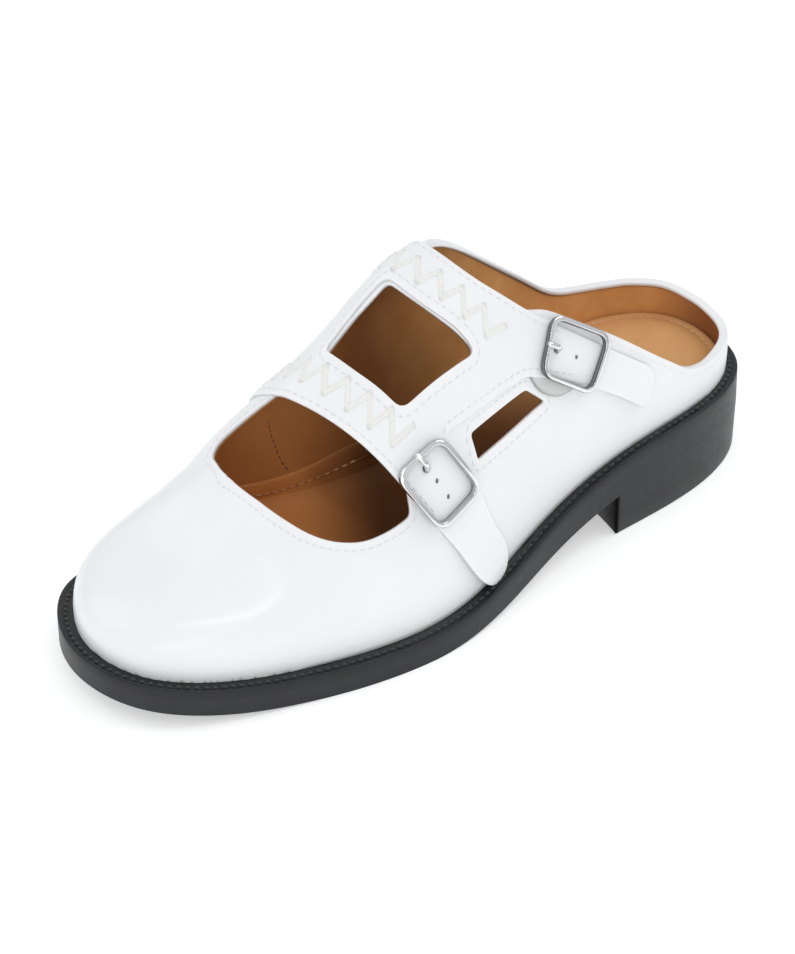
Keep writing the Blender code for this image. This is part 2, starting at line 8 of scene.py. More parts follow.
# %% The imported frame
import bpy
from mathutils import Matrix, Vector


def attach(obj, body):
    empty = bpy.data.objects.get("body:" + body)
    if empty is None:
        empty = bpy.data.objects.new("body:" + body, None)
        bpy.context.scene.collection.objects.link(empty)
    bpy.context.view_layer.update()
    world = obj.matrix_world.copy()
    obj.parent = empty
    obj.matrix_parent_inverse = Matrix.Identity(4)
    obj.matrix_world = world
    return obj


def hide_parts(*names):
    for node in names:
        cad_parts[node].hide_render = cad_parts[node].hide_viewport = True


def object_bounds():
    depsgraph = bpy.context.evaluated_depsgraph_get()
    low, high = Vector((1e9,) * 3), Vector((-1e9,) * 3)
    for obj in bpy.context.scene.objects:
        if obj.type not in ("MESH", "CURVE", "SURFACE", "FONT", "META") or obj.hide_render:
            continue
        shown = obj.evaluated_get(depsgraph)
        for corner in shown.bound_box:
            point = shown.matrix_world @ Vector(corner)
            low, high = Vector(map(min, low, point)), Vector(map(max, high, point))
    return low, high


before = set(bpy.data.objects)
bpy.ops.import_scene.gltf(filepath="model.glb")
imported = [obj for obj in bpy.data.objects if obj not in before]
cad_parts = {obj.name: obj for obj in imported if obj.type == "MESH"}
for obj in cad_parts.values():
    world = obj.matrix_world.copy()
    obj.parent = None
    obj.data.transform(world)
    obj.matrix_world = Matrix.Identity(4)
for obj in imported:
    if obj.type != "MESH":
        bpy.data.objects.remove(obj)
cad_low, cad_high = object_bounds()
print("nodes:", ", ".join(sorted(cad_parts)))

# %% Tools and units
import math

import bmesh
import bpy
import numpy as np
from mathutils import Matrix, Quaternion, Vector

MM = 0.001
scene = bpy.context.scene
middle = (cad_low + cad_high) / 2
print("shoe size, mm:", [round(side / MM, 1) for side in cad_high - cad_low])

# %% [markdown]
# ## Camera
# A long lens from above the toe and the buckle side, as in a shop picture. The camera is
# placed by the way it looks at the shoe: degrees round it, degrees up, and distance.

# %% Camera
AZIMUTH = math.radians(53.578)      # from the toe's direction towards the buckle side
ELEVATION = math.radians(36.856)
ROLL = math.radians(-0.885)
DISTANCE = 1290.0 * MM
LENS = 147.5
AIM = Vector((5.3, -11.9, -15.1)) * MM     # from the middle of the shoe's box
away = Vector((math.sin(AZIMUTH) * math.cos(ELEVATION),
               -math.cos(AZIMUTH) * math.cos(ELEVATION),
               math.sin(ELEVATION)))
camera_data = bpy.data.cameras.new("camera")
camera_data.lens = LENS
camera_data.sensor_width = 36.0
camera_data.clip_start = 0.05
camera_data.clip_end = 50.0
camera = bpy.data.objects.new("camera", camera_data)
camera.location = middle + AIM + away * DISTANCE
camera.rotation_mode = "QUATERNION"
camera.rotation_quaternion = away.to_track_quat("Z", "Y") @ Quaternion((0, 0, 1), ROLL)
scene.collection.objects.link(camera)
scene.camera = camera
print("camera at, mm:", [round(value / MM, 1) for value in camera.location])

# %% [markdown]
# ## Studio
# A white sweep of floor in an even white room. One strip light at the buckle side draws the
# soft streak on the toe cap, a broad box near the camera keeps the walls of the shoe as
# bright as its top, a third light shines down into the open heel, and a fourth fills in
# the medial side.


# %% Nodes
def fill(node, inputs):
    """Give a node's inputs their numbers, their colours, or the sockets that feed them."""
    for key, value in inputs.items():
        socket = node.inputs[key]
        if isinstance(value, bpy.types.NodeSocket):
            node.id_data.links.new(value, socket)
        else:
            socket.default_value = (*value, 1.0) if socket.type == "RGBA" else value
    return node


def new_node(tree, kind, inputs, **settings):
    """Add a node, with its settings and its inputs."""
    node = tree.nodes.new(kind)
    for name, value in settings.items():
        setattr(node, name, value)
    return fill(node, inputs)


def ramp(tree, value, *stops):
    """A colour ramp on a value, between two stops of (position, colour)."""
    made = new_node(tree, "ShaderNodeValToRGB", {"Fac": value})
    for stop, (position, colour) in zip(made.color_ramp.elements, stops):
        stop.position = position
        stop.color = (*colour, 1.0)
    return made.outputs["Color"]


# %% Room light
world = bpy.data.worlds.new("studio")
world.use_nodes = True
scene.world = world
tree = world.node_tree
room = tree.nodes["Background"]
direction = tree.nodes.new("ShaderNodeTexCoord").outputs["Generated"]
height = new_node(tree, "ShaderNodeSeparateXYZ", {"Vector": direction}).outputs["Z"]
walls = ramp(tree, height, (0.04, (0.62, 0.63, 0.65)), (0.30, (0.975, 0.985, 1.0)))
fill(room, {"Color": walls, "Strength": 0.74})
scene.view_settings.view_transform = "Standard"


# %% Soft boxes
def soft_box(name, place, aim, size, power, roll=0.0):
    """A rectangular area light at a place, in metres, turned towards a point."""
    data = bpy.data.lights.new(name, "AREA")
    data.shape = "RECTANGLE"
    data.size, data.size_y = size
    data.energy = power
    lamp = bpy.data.objects.new(name, data)
    lamp.location = place
    lamp.rotation_mode = "QUATERNION"
    facing = (Vector(place) - Vector(aim)).to_track_quat("Z", "Y")
    lamp.rotation_quaternion = facing @ Quaternion((0, 0, 1), math.radians(roll))
    scene.collection.objects.link(lamp)


TOE = (0.03, -0.085, 0.06)
soft_box("side_strip", (0.965, -0.425, 1.288), TOE, (0.035, 1.45), 2.0, roll=32.7)
soft_box("front_box", (1.25, -1.05, 0.62), middle, (1.1, 0.8), 4.1)
soft_box("heel_box", (0.35, 0.75, 1.25), (0.0, 0.09, 0.05), (0.8, 0.8), 4.2)
soft_box("inner_box", (-1.05, -0.90, 1.10), middle, (1.2, 1.2), 5.2)

# %% Floor
FLOOR_SIDE = 30.0
floor_bm = bmesh.new()
bmesh.ops.create_grid(floor_bm, x_segments=1, y_segments=1, size=FLOOR_SIDE / 2)
floor_mesh = bpy.data.meshes.new("floor")
floor_bm.to_mesh(floor_mesh)
floor_bm.free()
floor = bpy.data.objects.new("floor", floor_mesh)
scene.collection.objects.link(floor)
floor_paint = bpy.data.materials.new("floor_paint")
floor_paint.use_nodes = True
floor_shader = floor_paint.node_tree.nodes["Principled BSDF"]
fill(floor_shader, {"Base Color": (0.80, 0.80, 0.80), "Roughness": 0.9, "Specular IOR Level": 0.1,
                    "Emission Color": (1.0, 1.0, 1.0), "Emission Strength": 0.42})
floor_mesh.materials.append(floor_paint)
print("floor", FLOOR_SIDE, "m wide")

# %% [markdown]
# ## The last
# A last is the foot form that a shoe is pulled over. Here it is a function. Ribs run from
# the crest of the instep down to the feather edge, where upper and sole meet, and they fan
# out around the toe and the heel. The flat pattern has p along the crest and q across it,
# in millimetres, so any point of a flat piece has its one place on the shoe.

# %% Sizes of the last
SOLE_OUTLINE = (
    (3.3, 0.1), (9.2, 20.2), (35.2, 34.6), (76.3, 38.9), (109.1, 43.0), (151.7, 53.3),
    (186.2, 52.4), (213.7, 46.1), (245.2, 35.4), (263.4, 20.7), (269.3, -2.5), (262.0, -24.2),
    (247.4, -39.0), (221.2, -45.5), (197.0, -45.8), (164.5, -37.3), (125.2, -27.0), (80.7, -29.3),
    (36.4, -32.9), (10.2, -20.2),
)
SECTION_COLUMNS = ("station", "feather", "edge", "crest", "centre", "rise", "crown", "lateral",
                   "medial")
SECTIONS = (
    (0.0, 31.3, 12.5, 82.9, 0.3, 0.63, 0.52, 2.6, 2.0),
    (30.0, 32.0, 12.5, 90.6, -1.4, 0.62, 0.51, 4.0, 3.0),
    (60.0, 31.8, 12.8, 100.4, -5.3, 0.63, 0.58, 4.4, 2.5),
    (95.0, 24.4, 12.3, 105.0, -11.4, 0.60, 0.61, 3.3, 3.0),
    (130.0, 14.2, 10.4, 105.8, -11.9, 0.56, 0.60, 2.6, 3.9),
    (165.0, 9.8, 9.8, 85.3, -7.7, 0.53, 0.60, 2.3, 3.9),
    (195.0, 9.8, 9.8, 67.4, -6.8, 0.53, 0.59, 3.0, 2.8),
    (220.0, 10.8, 9.8, 45.3, -4.8, 0.55, 0.55, 3.6, 2.5),
    (245.0, 14.1, 9.8, 38.5, -3.1, 0.59, 0.55, 3.2, 1.3),
    (270.0, 18.9, 9.8, 35.7, -2.9, 0.60, 0.55, 2.6, 0.0),
)
HALF_GIRTH = 85.0           # pattern width from the crest to the feather edge
HEEL_FAN = 35.0             # stations where the heel's and the toe's ribs meet
TOE_FAN = 205.0
SPINE = TOE_FAN - HEEL_FAN
FULLNESS = 26.0
LEDGE_FORE = 5.4            # welt that shows outside the upper, forefoot and heel
LEDGE_HEEL = 4.2
LEDGE_BLEND = (60.0, 120.0)


# %% Smooth curves
def cubic(xs, ys, closed=False):
    """Smooth cubic through the rows (ys may have several columns), as a function."""
    x = np.asarray(xs, float)
    y = np.asarray(ys, float).reshape(len(x), -1)
    count = len(x)
    step = np.diff(x)
    slope = np.diff(y, axis=0) / step[:, None]
    matrix = np.zeros((count, count))
    right = np.zeros_like(y)
    for i in range(1, count - 1):
        matrix[i, i - 1:i + 2] = step[i - 1], 2 * (step[i - 1] + step[i]), step[i]
        right[i] = 6 * (slope[i] - slope[i - 1])
    matrix[0, 0] = matrix[-1, -1] = 1
    if closed:
        matrix[0, [0, 1, count - 2]] = 2 * (step[0] + step[-1]), step[0], step[-1]
        right[0] = 6 * (slope[0] - slope[-1])
        matrix[-1, 0] = -1
    bend = np.linalg.solve(matrix, right)

    def value(at):
        at = np.clip(np.asarray(at, float), x[0], x[-1])
        k = np.clip(np.searchsorted(x, at, side="right") - 1, 0, count - 2)
        b = (at - x[k]) / step[k]
        a = 1 - b
        square = (step[k] ** 2 / 6)[..., None]
        curve = (a ** 3 - a)[..., None] * bend[k] + (b ** 3 - b)[..., None] * bend[k + 1]
        out = a[..., None] * y[k] + b[..., None] * y[k + 1] + square * curve
        return out[..., 0] if np.ndim(ys) == 1 else out
    return value


def loop_points(rows, count):
    """Points spread along a smooth closed curve through the rows."""
    ring = np.array(list(rows) + [rows[0]], float)
    chords = np.linalg.norm(np.diff(ring, axis=0), axis=1) ** 0.7
    knots = np.concatenate([[0], np.cumsum(chords)])
    return cubic(knots, ring, True)(np.linspace(0, knots[-1], count, endpoint=False))


def run_along(line):
    """Length along a polyline, at each of its points."""
    return np.concatenate([[0], np.cumsum(np.linalg.norm(np.diff(line, axis=0), axis=1))])


def even(points, count, closed=False):
    """The same polyline with its points evenly spaced."""
    line = np.vstack([points, points[:1]]) if closed else np.asarray(points)
    run = run_along(line)
    at = np.linspace(0, run[-1], count, endpoint=not closed)
    return np.stack([np.interp(at, run, column) for column in line.T], axis=1)


def outline(rows, spacing=1.6):
    """Closed polygon through rows: (x, y), passed smoothly, or a corner (x, y, fillet)."""
    corners = [i for i, row in enumerate(rows) if len(row) == 3]
    if not corners:
        fine = loop_points(rows, 1200)
        return even(fine, int(run_along(fine)[-1] / spacing), closed=True)
    sides = []
    for here, after in zip(corners, corners[1:] + [corners[0] + len(rows)]):
        side = np.array([rows[i % len(rows)][:2] for i in range(here, after + 1)], float)
        run = run_along(side)
        start = rows[here][2]
        stop = run[-1] - rows[after % len(rows)][2]
        count = max(2, int((stop - start) / spacing) + 1)
        sides.append(cubic(run, side)(np.linspace(start, stop, count)))
    points = []
    for k, side in enumerate(sides):
        row = rows[corners[(k + 1) % len(corners)]]
        follow = sides[(k + 1) % len(sides)][0]
        points.extend(side)
        turns = max(3, int(1.5 * row[2] / spacing) + 2)
        for t in np.linspace(0, 1, turns + 1)[1:-1]:
            bend = 2 * t * (1 - t) * np.array(row[:2])
            points.append((1 - t) ** 2 * side[-1] + bend + t * t * follow)
    return np.array(points)


SECTION = {name: cubic([row[0] for row in SECTIONS], [row[k] for row in SECTIONS])
           for k, name in enumerate(SECTION_COLUMNS)}
SOLE = loop_points(SOLE_OUTLINE, 720)
MIDDLE = (SOLE.max(axis=0) + SOLE.min(axis=0)) / 2
print("sole length and width, mm:", (SOLE.max(axis=0) - SOLE.min(axis=0)).round(1), "middle", MIDDLE)


# %% Edges of the bottom
def ledge(station):
    """Width of the welt that shows outside the upper."""
    blend = np.clip((station - LEDGE_BLEND[0]) / (LEDGE_BLEND[1] - LEDGE_BLEND[0]), 0, 1)
    return LEDGE_HEEL + (LEDGE_FORE - LEDGE_HEEL) * blend


def turned(points, hole=False):
    """The same loop, running so that its own material lies on its left."""
    x, y = np.asarray(points).T
    area = (x * np.roll(y, -1) - np.roll(x, -1) * y).sum()
    return np.asarray(points)[::-1] if (area < 0) != hole else np.asarray(points)


def moved(points, width):
    """A closed loop moved to its left by a width, one value or one for each point."""
    along = np.roll(points, -1, axis=0) - np.roll(points, 1, axis=0)
    left = np.stack([-along[:, 1], along[:, 0]], axis=1)
    left /= np.linalg.norm(left, axis=1, keepdims=True)
    return points + left * np.reshape(width, (-1, 1))


SOLE = turned(SOLE)
FEATHER = moved(SOLE, ledge(SOLE[:, 0]))


def under_sole(station):
    """Height of the sole's underside: on the floor under the ball of the foot."""
    return np.maximum(SECTION["feather"](station) - SECTION["edge"](station), 0)


def world_point(station, offset, height):
    """Shoe sizes in millimetres to points in the world, in metres."""
    return np.stack([offset - MIDDLE[1], MIDDLE[0] - station, height], axis=-1) * MM


# %% The last's function
def halves(points):
    """Offset of the outline's lateral and medial side, as functions of the station."""
    ring = np.roll(points, -points[:, 0].argmin(), axis=0)
    ring = ring if ring[20, 1] > ring[-20, 1] else np.roll(ring[::-1], 1, axis=0)
    toe = ring[:, 0].argmax()
    lateral = ring[:toe + 1]
    medial = np.vstack([ring[toe:], ring[:1]])[::-1]
    return (lambda s: np.interp(s, lateral[:, 0], lateral[:, 1]),
            lambda s: np.interp(s, medial[:, 0], medial[:, 1]))


def fan(points, station, forward):
    """Distance from a fan's centre to the outline, as a function of the rib's angle."""
    apart = (points - [station, SECTION["centre"](station)]) * [forward, 1]
    angle = np.arctan2(apart[:, 0], apart[:, 1])
    order = np.argsort(angle)
    turns = np.concatenate([angle[order] + turn * 2 * math.pi for turn in (-1, 0, 1)])
    reach = np.tile(np.hypot(*apart[order].T), 3)
    return lambda theta: np.interp(theta, turns, reach)


LATERAL_FOOT, MEDIAL_FOOT = halves(FEATHER)
TOE_REACH = fan(FEATHER, TOE_FAN, 1)
HEEL_REACH = fan(FEATHER, HEEL_FAN, -1)


def last_point(p, q):
    """Pattern point to the outer face of the upper: (station, offset, height).

    Each rib is a cubic Bezier curve from its foot on the feather edge to the crest."""
    on_spine = np.clip(p, 0, SPINE)
    crest_s = HEEL_FAN + on_spine
    crest_x = SECTION["centre"](crest_s)
    crest_z = SECTION["crest"](crest_s)
    past = p - on_spine
    theta = np.arctan2(np.abs(past), q)
    reach = np.where(past > 0, TOE_REACH(theta), HEEL_REACH(theta))
    straight_x = np.where(q >= 0, LATERAL_FOOT(crest_s), MEDIAL_FOOT(crest_s))
    foot_s = np.where(past == 0, crest_s, crest_s + np.sign(past) * reach * np.sin(theta))
    foot_x = np.where(past == 0, straight_x, crest_x + reach * np.cos(theta))
    foot_z = SECTION["feather"](foot_s)
    run = np.stack([foot_s - crest_s, foot_x - crest_x], axis=-1)
    side = (1 + q / np.maximum(np.hypot(past, q), 1e-6)) / 2
    swell = side * SECTION["lateral"](foot_s) + (1 - side) * SECTION["medial"](foot_s)
    breadth = np.linalg.norm(run, axis=-1, keepdims=True) + 1e-9
    outward = run / breadth * swell[..., None]
    crown = SECTION["crown"](foot_s)[..., None] * (breadth ** 4 + FULLNESS ** 4) ** 0.25 / breadth
    slope = (SECTION["crest"](crest_s + 1) - SECTION["crest"](crest_s - 1)) / 2
    foot = np.stack([foot_s, foot_x, foot_z], axis=-1)
    crest = np.stack([crest_s, crest_x, crest_z], axis=-1)
    lift = SECTION["rise"](foot_s) * (crest_z - foot_z)
    wall = foot + np.concatenate([outward, lift[..., None]], axis=-1)
    shoulder = crest + np.concatenate([run, (slope * run[..., 0])[..., None]], axis=-1) * crown
    t = (1 - np.hypot(past, q) / HALF_GIRTH)[..., None]
    u = 1 - t
    return u ** 3 * foot + 3 * u * u * t * wall + 3 * u * t * t * shoulder + t ** 3 * crest


NUDGE = 0.02            # half the step that the surface's slope is measured over


def on_last(p, q, out=0.0):
    """World point, in metres, at a distance out of the upper's outer face."""
    p, q, out = np.broadcast_arrays(*(np.asarray(v, float) for v in (p, q, out)))
    along = last_point(p + NUDGE, q) - last_point(p - NUDGE, q)
    across = last_point(p, q + NUDGE) - last_point(p, q - NUDGE)
    normal = np.cross(along, across)
    normal /= np.linalg.norm(normal, axis=-1, keepdims=True)
    place = last_point(p, q) + normal * out[..., None]
    return world_point(place[..., 0], place[..., 1], place[..., 2])


def on_upper(flat):
    """Rows of (p, q, height) bent over the last."""
    return on_last(*flat.T)


print("height of the crest, mm:", round(float(on_last(95.0, 0.0)[2]) / MM, 1))

# %% [markdown]
# ## Cutting a piece
# A real piece of leather is die-cut, its edges are rounded and burnished, and a shallow
# channel is pressed where the thread runs. The same order works in code: a ring of
# edges goes round each outline and is extruded over the rounded rim, `triangle_fill`
# closes the two faces, and `bisect_plane` scores the sheet into small square cells so
# that it can bend. Dissolving the fill's own edges leaves clean squares.


# %% Cut a flat plate
def grown_ring(bm, verts, edges, places, height, edge_tint):
    """Extrude a ring of edges and set its new vertices down at their places."""
    layer = bm.verts.layers.float["edge_tint_and_shade"]
    parts = bmesh.ops.extrude_edge_only(bm, edges=edges)["geom"]
    fresh = {part for part in parts if isinstance(part, bmesh.types.BMVert)}
    partner = {edge.other_vert(vert): vert for vert in fresh for edge in vert.link_edges
               if edge.other_vert(vert) not in fresh}
    verts = [partner[vert] for vert in verts]
    edges = [part for part in parts
             if isinstance(part, bmesh.types.BMEdge) and fresh.issuperset(part.verts)]
    for vert, (x, y) in zip(verts, places):
        vert.co = (x, y, height)
        vert[layer] = edge_tint
    return verts, edges


def cut_plate(loops, cell):
    """A closed flat plate. loops: (points, rim) pairs, the first one the outside.

    A rim is rows of (inset, height), from the lower face to the upper one. A third number
    says how strong the edge tint is there: a hide's paler cut edge, a lining's edge darkened
    by burnish and painted shade, and on the buckle frames painted dark reflections and shade."""
    bm = bmesh.new()
    edge_layer = bm.verts.layers.float.new("edge_tint_and_shade")
    faces_of = ([], [])
    for order, (points, rim) in enumerate(loops):
        loop = turned(points, hole=order > 0)
        first, *others = [(*row, 0.0)[:3] for row in rim]
        verts = [bm.verts.new((x, y, first[1])) for x, y in moved(loop, first[0])]
        for vert in verts:
            vert[edge_layer] = first[2]
        edges = [bm.edges.new(pair) for pair in zip(verts, verts[1:] + verts[:1])]
        faces_of[0].extend(edges)
        for inset_by, height, edge_tint in others:
            verts, edges = grown_ring(bm, verts, edges, moved(loop, inset_by), height, edge_tint)
        faces_of[1].extend(edges)
    for rim_edges in faces_of:
        filled = bmesh.ops.triangle_fill(bm, edges=rim_edges, use_beauty=True, use_dissolve=False)
        for part in set(filled["geom"]) - set(rim_edges):
            if isinstance(part, bmesh.types.BMEdge):
                part.seam = True
    score(bm, cell)
    bmesh.ops.dissolve_edges(bm, edges=[edge for edge in bm.edges if edge.seam], use_verts=True)
    return bm


def score(bm, cell):
    """Cut a plate along the lines of a square grid."""
    flat = np.array([vert.co for vert in bm.verts])
    for axis in (0, 1):
        low, high = flat[:, axis].min(), flat[:, axis].max()
        for at in np.arange(math.ceil(low / cell) * cell, high, cell):
            bmesh.ops.bisect_plane(bm, geom=bm.verts[:] + bm.edges[:] + bm.faces[:], dist=0.03,
                                   plane_co=(at, at, 0), plane_no=(1 - axis, axis, 0))


def add_piece(bm, place, name, finish, slot_name, *stands_for):
    """Bend a flat bmesh to its place, and make it a piece that rides on the shoe.

    place: a function from the flat piece's rows to world points."""
    flat = np.array([vert.co for vert in bm.verts])
    for vert, point in zip(bm.verts, place(flat)):
        vert.co = point
    bmesh.ops.recalc_face_normals(bm, faces=bm.faces)
    if bm.calc_volume(signed=True) < 0:
        bmesh.ops.reverse_faces(bm, faces=bm.faces)
    mesh = bpy.data.meshes.new(name)
    bm.to_mesh(mesh)
    bm.free()
    mesh.materials.append(finish)
    mesh.shade_smooth()
    piece = bpy.data.objects.new(name, mesh)
    scene.collection.objects.link(piece)
    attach(piece, "root")
    if stands_for:
        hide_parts(*stands_for)
    triangles = sum(len(face.vertices) - 2 for face in mesh.polygons)
    print(f"{name}: {triangles} triangles")


# %% [markdown]
# ## Finishes
# Box-dyed calf looks plain from afar, but it has pores, a soft gloss, and slightly paler
# cut edges. Each finish is a small node tree on Object coordinates, in metres: noise for
# the tone, Voronoi cells for the pores, and a bump from both.


# %% Node helpers
NOISE_ROUGHNESS = 0.55


def new_finish(name, colour, roughness, metallic=0.0):
    """A material with a Principled shader, and the parts that the other helpers need."""
    made = bpy.data.materials.new(name)
    made.use_nodes = True
    shader = made.node_tree.nodes["Principled BSDF"]
    fill(shader, {"Base Color": colour, "Roughness": roughness, "Metallic": metallic})
    return made, made.node_tree, shader


def object_noise(tree, scale, detail=4.0, stretch=(1.0, 1.0, 1.0)):
    """A noise on Object coordinates. Its scale is in repeats a metre."""
    place = tree.nodes.new("ShaderNodeTexCoord").outputs["Object"]
    mapping = new_node(tree, "ShaderNodeMapping", {"Vector": place, "Scale": stretch})
    grain = {"Vector": mapping.outputs["Vector"], "Scale": scale, "Detail": detail,
             "Roughness": NOISE_ROUGHNESS}
    return new_node(tree, "ShaderNodeTexNoise", grain).outputs["Fac"]


def object_cells(tree, scale):
    """Voronoi cells on Object coordinates, such as leather's pores."""
    place = tree.nodes.new("ShaderNodeTexCoord").outputs["Object"]
    cells = new_node(tree, "ShaderNodeTexVoronoi", {"Vector": place, "Scale": scale})
    return cells.outputs["Distance"]


def spread(tree, value, low, high):
    """A value from 0 to 1 laid out between two others."""
    limits = {"Value": value, "To Min": low, "To Max": high}
    return new_node(tree, "ShaderNodeMapRange", limits).outputs["Result"]


def bumped(tree, shader, *heights):
    """Chain bumps onto a shader. heights: (value, strength, depth in metres)."""
    before = {}
    for value, strength, depth in heights:
        relief = {"Height": value, "Strength": strength, "Distance": depth, **before}
        bump = new_node(tree, "ShaderNodeBump", relief)
        before = {"Normal": bump.outputs["Normal"]}
    fill(shader, before)


def blended(tree, amount, first, second):
    """Mix two colours by a value. Either one is a colour socket or plain numbers."""
    mix = new_node(tree, "ShaderNodeMix", {"Factor": amount}, data_type="RGBA")
    places = [place for place, socket in enumerate(mix.inputs) if socket.type == "RGBA"]
    fill(mix, dict(zip(places, (first, second))))
    return next(socket for socket in mix.outputs if socket.type == "RGBA")


def edge_tint_and_shade(tree):
    """How strong the edge tint is at a point of a plate: a cut edge, burnish, or on steel painted dark
    reflections and shade.
    """
    made = new_node(tree, "ShaderNodeAttribute", {}, attribute_name="edge_tint_and_shade")
    return made.outputs["Fac"]


def ramp_along_shoe(tree, slant, start, stop):
    """A value that runs from 0 to 1 along the shoe between two places, in metres."""
    place = tree.nodes.new("ShaderNodeTexCoord").outputs["Object"]
    along = new_node(tree, "ShaderNodeSeparateXYZ", {"Vector": place}).outputs
    sum_of = {0: along["X"], 1: slant, 2: along["Y"]}
    slanted = new_node(tree, "ShaderNodeMath", sum_of, operation="MULTIPLY_ADD")
    limits = {"Value": slanted.outputs["Value"], "From Min": start, "From Max": stop}
    ramped = new_node(tree, "ShaderNodeMapRange", limits, interpolation_type="SMOOTHSTEP")
    return ramped.outputs["Result"]


# %% White calf
TOE_GLOSS = (-0.084, -0.073)    # the coat of wax is rubbed thinner from here on back
COAT = (0.35, 0.08)


def calf(name, dark, light, edge, roughness):
    """Smooth calf: soft gloss, fine pores, paler cut edges."""
    made, tree, shader = new_finish(name, light, roughness)
    tone = ramp(tree, object_noise(tree, 28.0, 3.0), (0.3, dark), (0.7, light))
    gloss = spread(tree, object_noise(tree, 160.0, 3.0), roughness - 0.05, roughness + 0.07)
    coat = spread(tree, ramp_along_shoe(tree, 0.0, *TOE_GLOSS), *COAT)
    fill(shader, {"Base Color": blended(tree, edge_tint_and_shade(tree), tone, edge), "Roughness": gloss,
                  "Specular IOR Level": 0.3, "Coat Weight": coat, "Coat Roughness": 0.11})
    bumped(tree, shader, (object_cells(tree, 1300.0), 0.10, 0.00012),
           (object_noise(tree, 420.0), 0.12, 0.0002))
    return made


WHITE = calf("white_calf", (0.785, 0.795, 0.81), (0.815, 0.822, 0.832), (0.83, 0.835, 0.84), 0.46)
STRAP_WHITE = calf("strap_calf", (0.79, 0.80, 0.815), (0.82, 0.827, 0.837), (0.84, 0.842, 0.845), 0.44)
# The tab's grey is painted shade: the tab lies in the shadow of the rear buckle.
TAB_SHADE_GREY = calf("tab_shade_calf", (0.60, 0.61, 0.60), (0.66, 0.67, 0.66), (0.36, 0.37, 0.36), 0.5)
# Dark discs in the spare holes paint the shade inside them.
HOLE_SHADE_GREY = calf("hole_shade_calf", (0.15, 0.15, 0.15), (0.2, 0.2, 0.2), (0.15, 0.15, 0.15), 0.8)
print("white calf:", WHITE.name, STRAP_WHITE.name)


# %% Tan lining, black bottom, steel, thread
REAR_SLANT = -0.8       # painted shade in the vamp runs further back on the lateral side
FRONT_SLANT = 0.6       # and its painted-light front end further forward on the medial side
FRONT_SHADE = (-0.050, -0.012)
BACK_SLANT = 0.5        # painted shade inside the back wall, which faces away from the light
BACK_SHADE = (0.107, 0.129)
# How dark the lining's cut edge is: burnish, deepened with painted shade.
BURNISH_AND_SHADE = 0.12
WAX_ROUGHNESS = 0.42
WAX_SHINE = 0.4


def tan_leather(name, dark, light, fore, painted_shade, rear_shade, back):
    """Vegetable-tanned lining: warm, matt, cloudy, with open pores. Light and shade are painted
    into its tone: painted shade darkest in the vamp under the strap and further back on the
    lateral side, a brighter painted-light tan towards the medial toe, and painted shade
    inside the back wall."""
    made, tree, shader = new_finish(name, light, 0.55)
    tone = ramp(tree, object_noise(tree, 55.0, 5.0), (0.3, dark), (0.72, light))
    # Painted light and shade: the fore tone is painted light towards the medial toe, the next colour is
    # painted shade in the vamp and on the lateral side.
    front = blended(tree, ramp_along_shoe(tree, FRONT_SLANT, *FRONT_SHADE), fore, painted_shade)
    tone = blended(tree, ramp_along_shoe(tree, REAR_SLANT, *rear_shade), tone, front)
    # Painted shade inside the back wall of the heel.
    tone = blended(tree, ramp_along_shoe(tree, BACK_SLANT, *BACK_SHADE), tone, back)
    edge_burnish_and_shade = tuple(value * BURNISH_AND_SHADE for value in dark)
    fill(shader, {"Base Color": blended(tree, edge_tint_and_shade(tree), tone, edge_burnish_and_shade),
                  "Roughness": spread(tree, object_noise(tree, 300.0), 0.5, 0.68),
                  "Specular IOR Level": 0.12})
    bumped(tree, shader, (object_cells(tree, 1100.0), 0.25, 0.0002),
           (object_noise(tree, 500.0), 0.2, 0.0003))
    return made


def black_edge(name, colour, breast=None):
    """Waxed black leather or rubber, with a fine grain that scatters the light. breast:
    where along the shoe, in metres, the painted near-black shade of the heel's breast ends."""
    made, tree, shader = new_finish(name, colour, WAX_ROUGHNESS)
    shine = WAX_SHINE
    paler = tuple(value * 1.5 for value in colour)
    tone = ramp(tree, object_noise(tree, 90.0), (0.35, colour), (0.8, paler))
    # Painted shade: the heel's breast face is made near-black and dull.
    if breast:
        unshaded = ramp_along_shoe(tree, 0.0, *breast)
        tone = blended(tree, unshaded, (0.001, 0.001, 0.001), tone)
        shine = spread(tree, unshaded, 0.05, WAX_SHINE)
    gloss = spread(tree, object_noise(tree, 380.0, 3.0), WAX_ROUGHNESS - 0.08, WAX_ROUGHNESS + 0.12)
    fill(shader, {"Base Color": tone, "Roughness": gloss, "Specular IOR Level": shine})
    bumped(tree, shader, (object_noise(tree, 700.0), 0.3, 0.00015))
    return made


def thread_finish(name, dark, light):
    """Twisted thread: a fine noise in its tone and its bump, with a little sheen."""
    made, tree, shader = new_finish(name, light, 0.75)
    tone = ramp(tree, object_noise(tree, 1500.0, 2.0), (0.3, dark), (0.7, light))
    fill(shader, {"Base Color": tone, "Sheen Weight": 0.25})
    bumped(tree, shader, (object_noise(tree, 2600.0, 2.0), 0.5, 0.0002))
    return made


def polished(name, plate, painted_dark):
    """Nickel-plated steel with hairline polishing marks, darkened on its walls and shoulders by painted
    dark reflections and painted shade.
    """
    made, tree, shader = new_finish(name, plate, 0.14, 1.0)
    marks = object_noise(tree, 900.0, 3.0, stretch=(1.0, 6.0, 1.0))
    fill(shader, {"Base Color": blended(tree, edge_tint_and_shade(tree), plate, painted_dark),
                  "Roughness": spread(tree, marks, 0.13, 0.19)})
    bumped(tree, shader, (marks, 0.02, 0.00003))
    return made


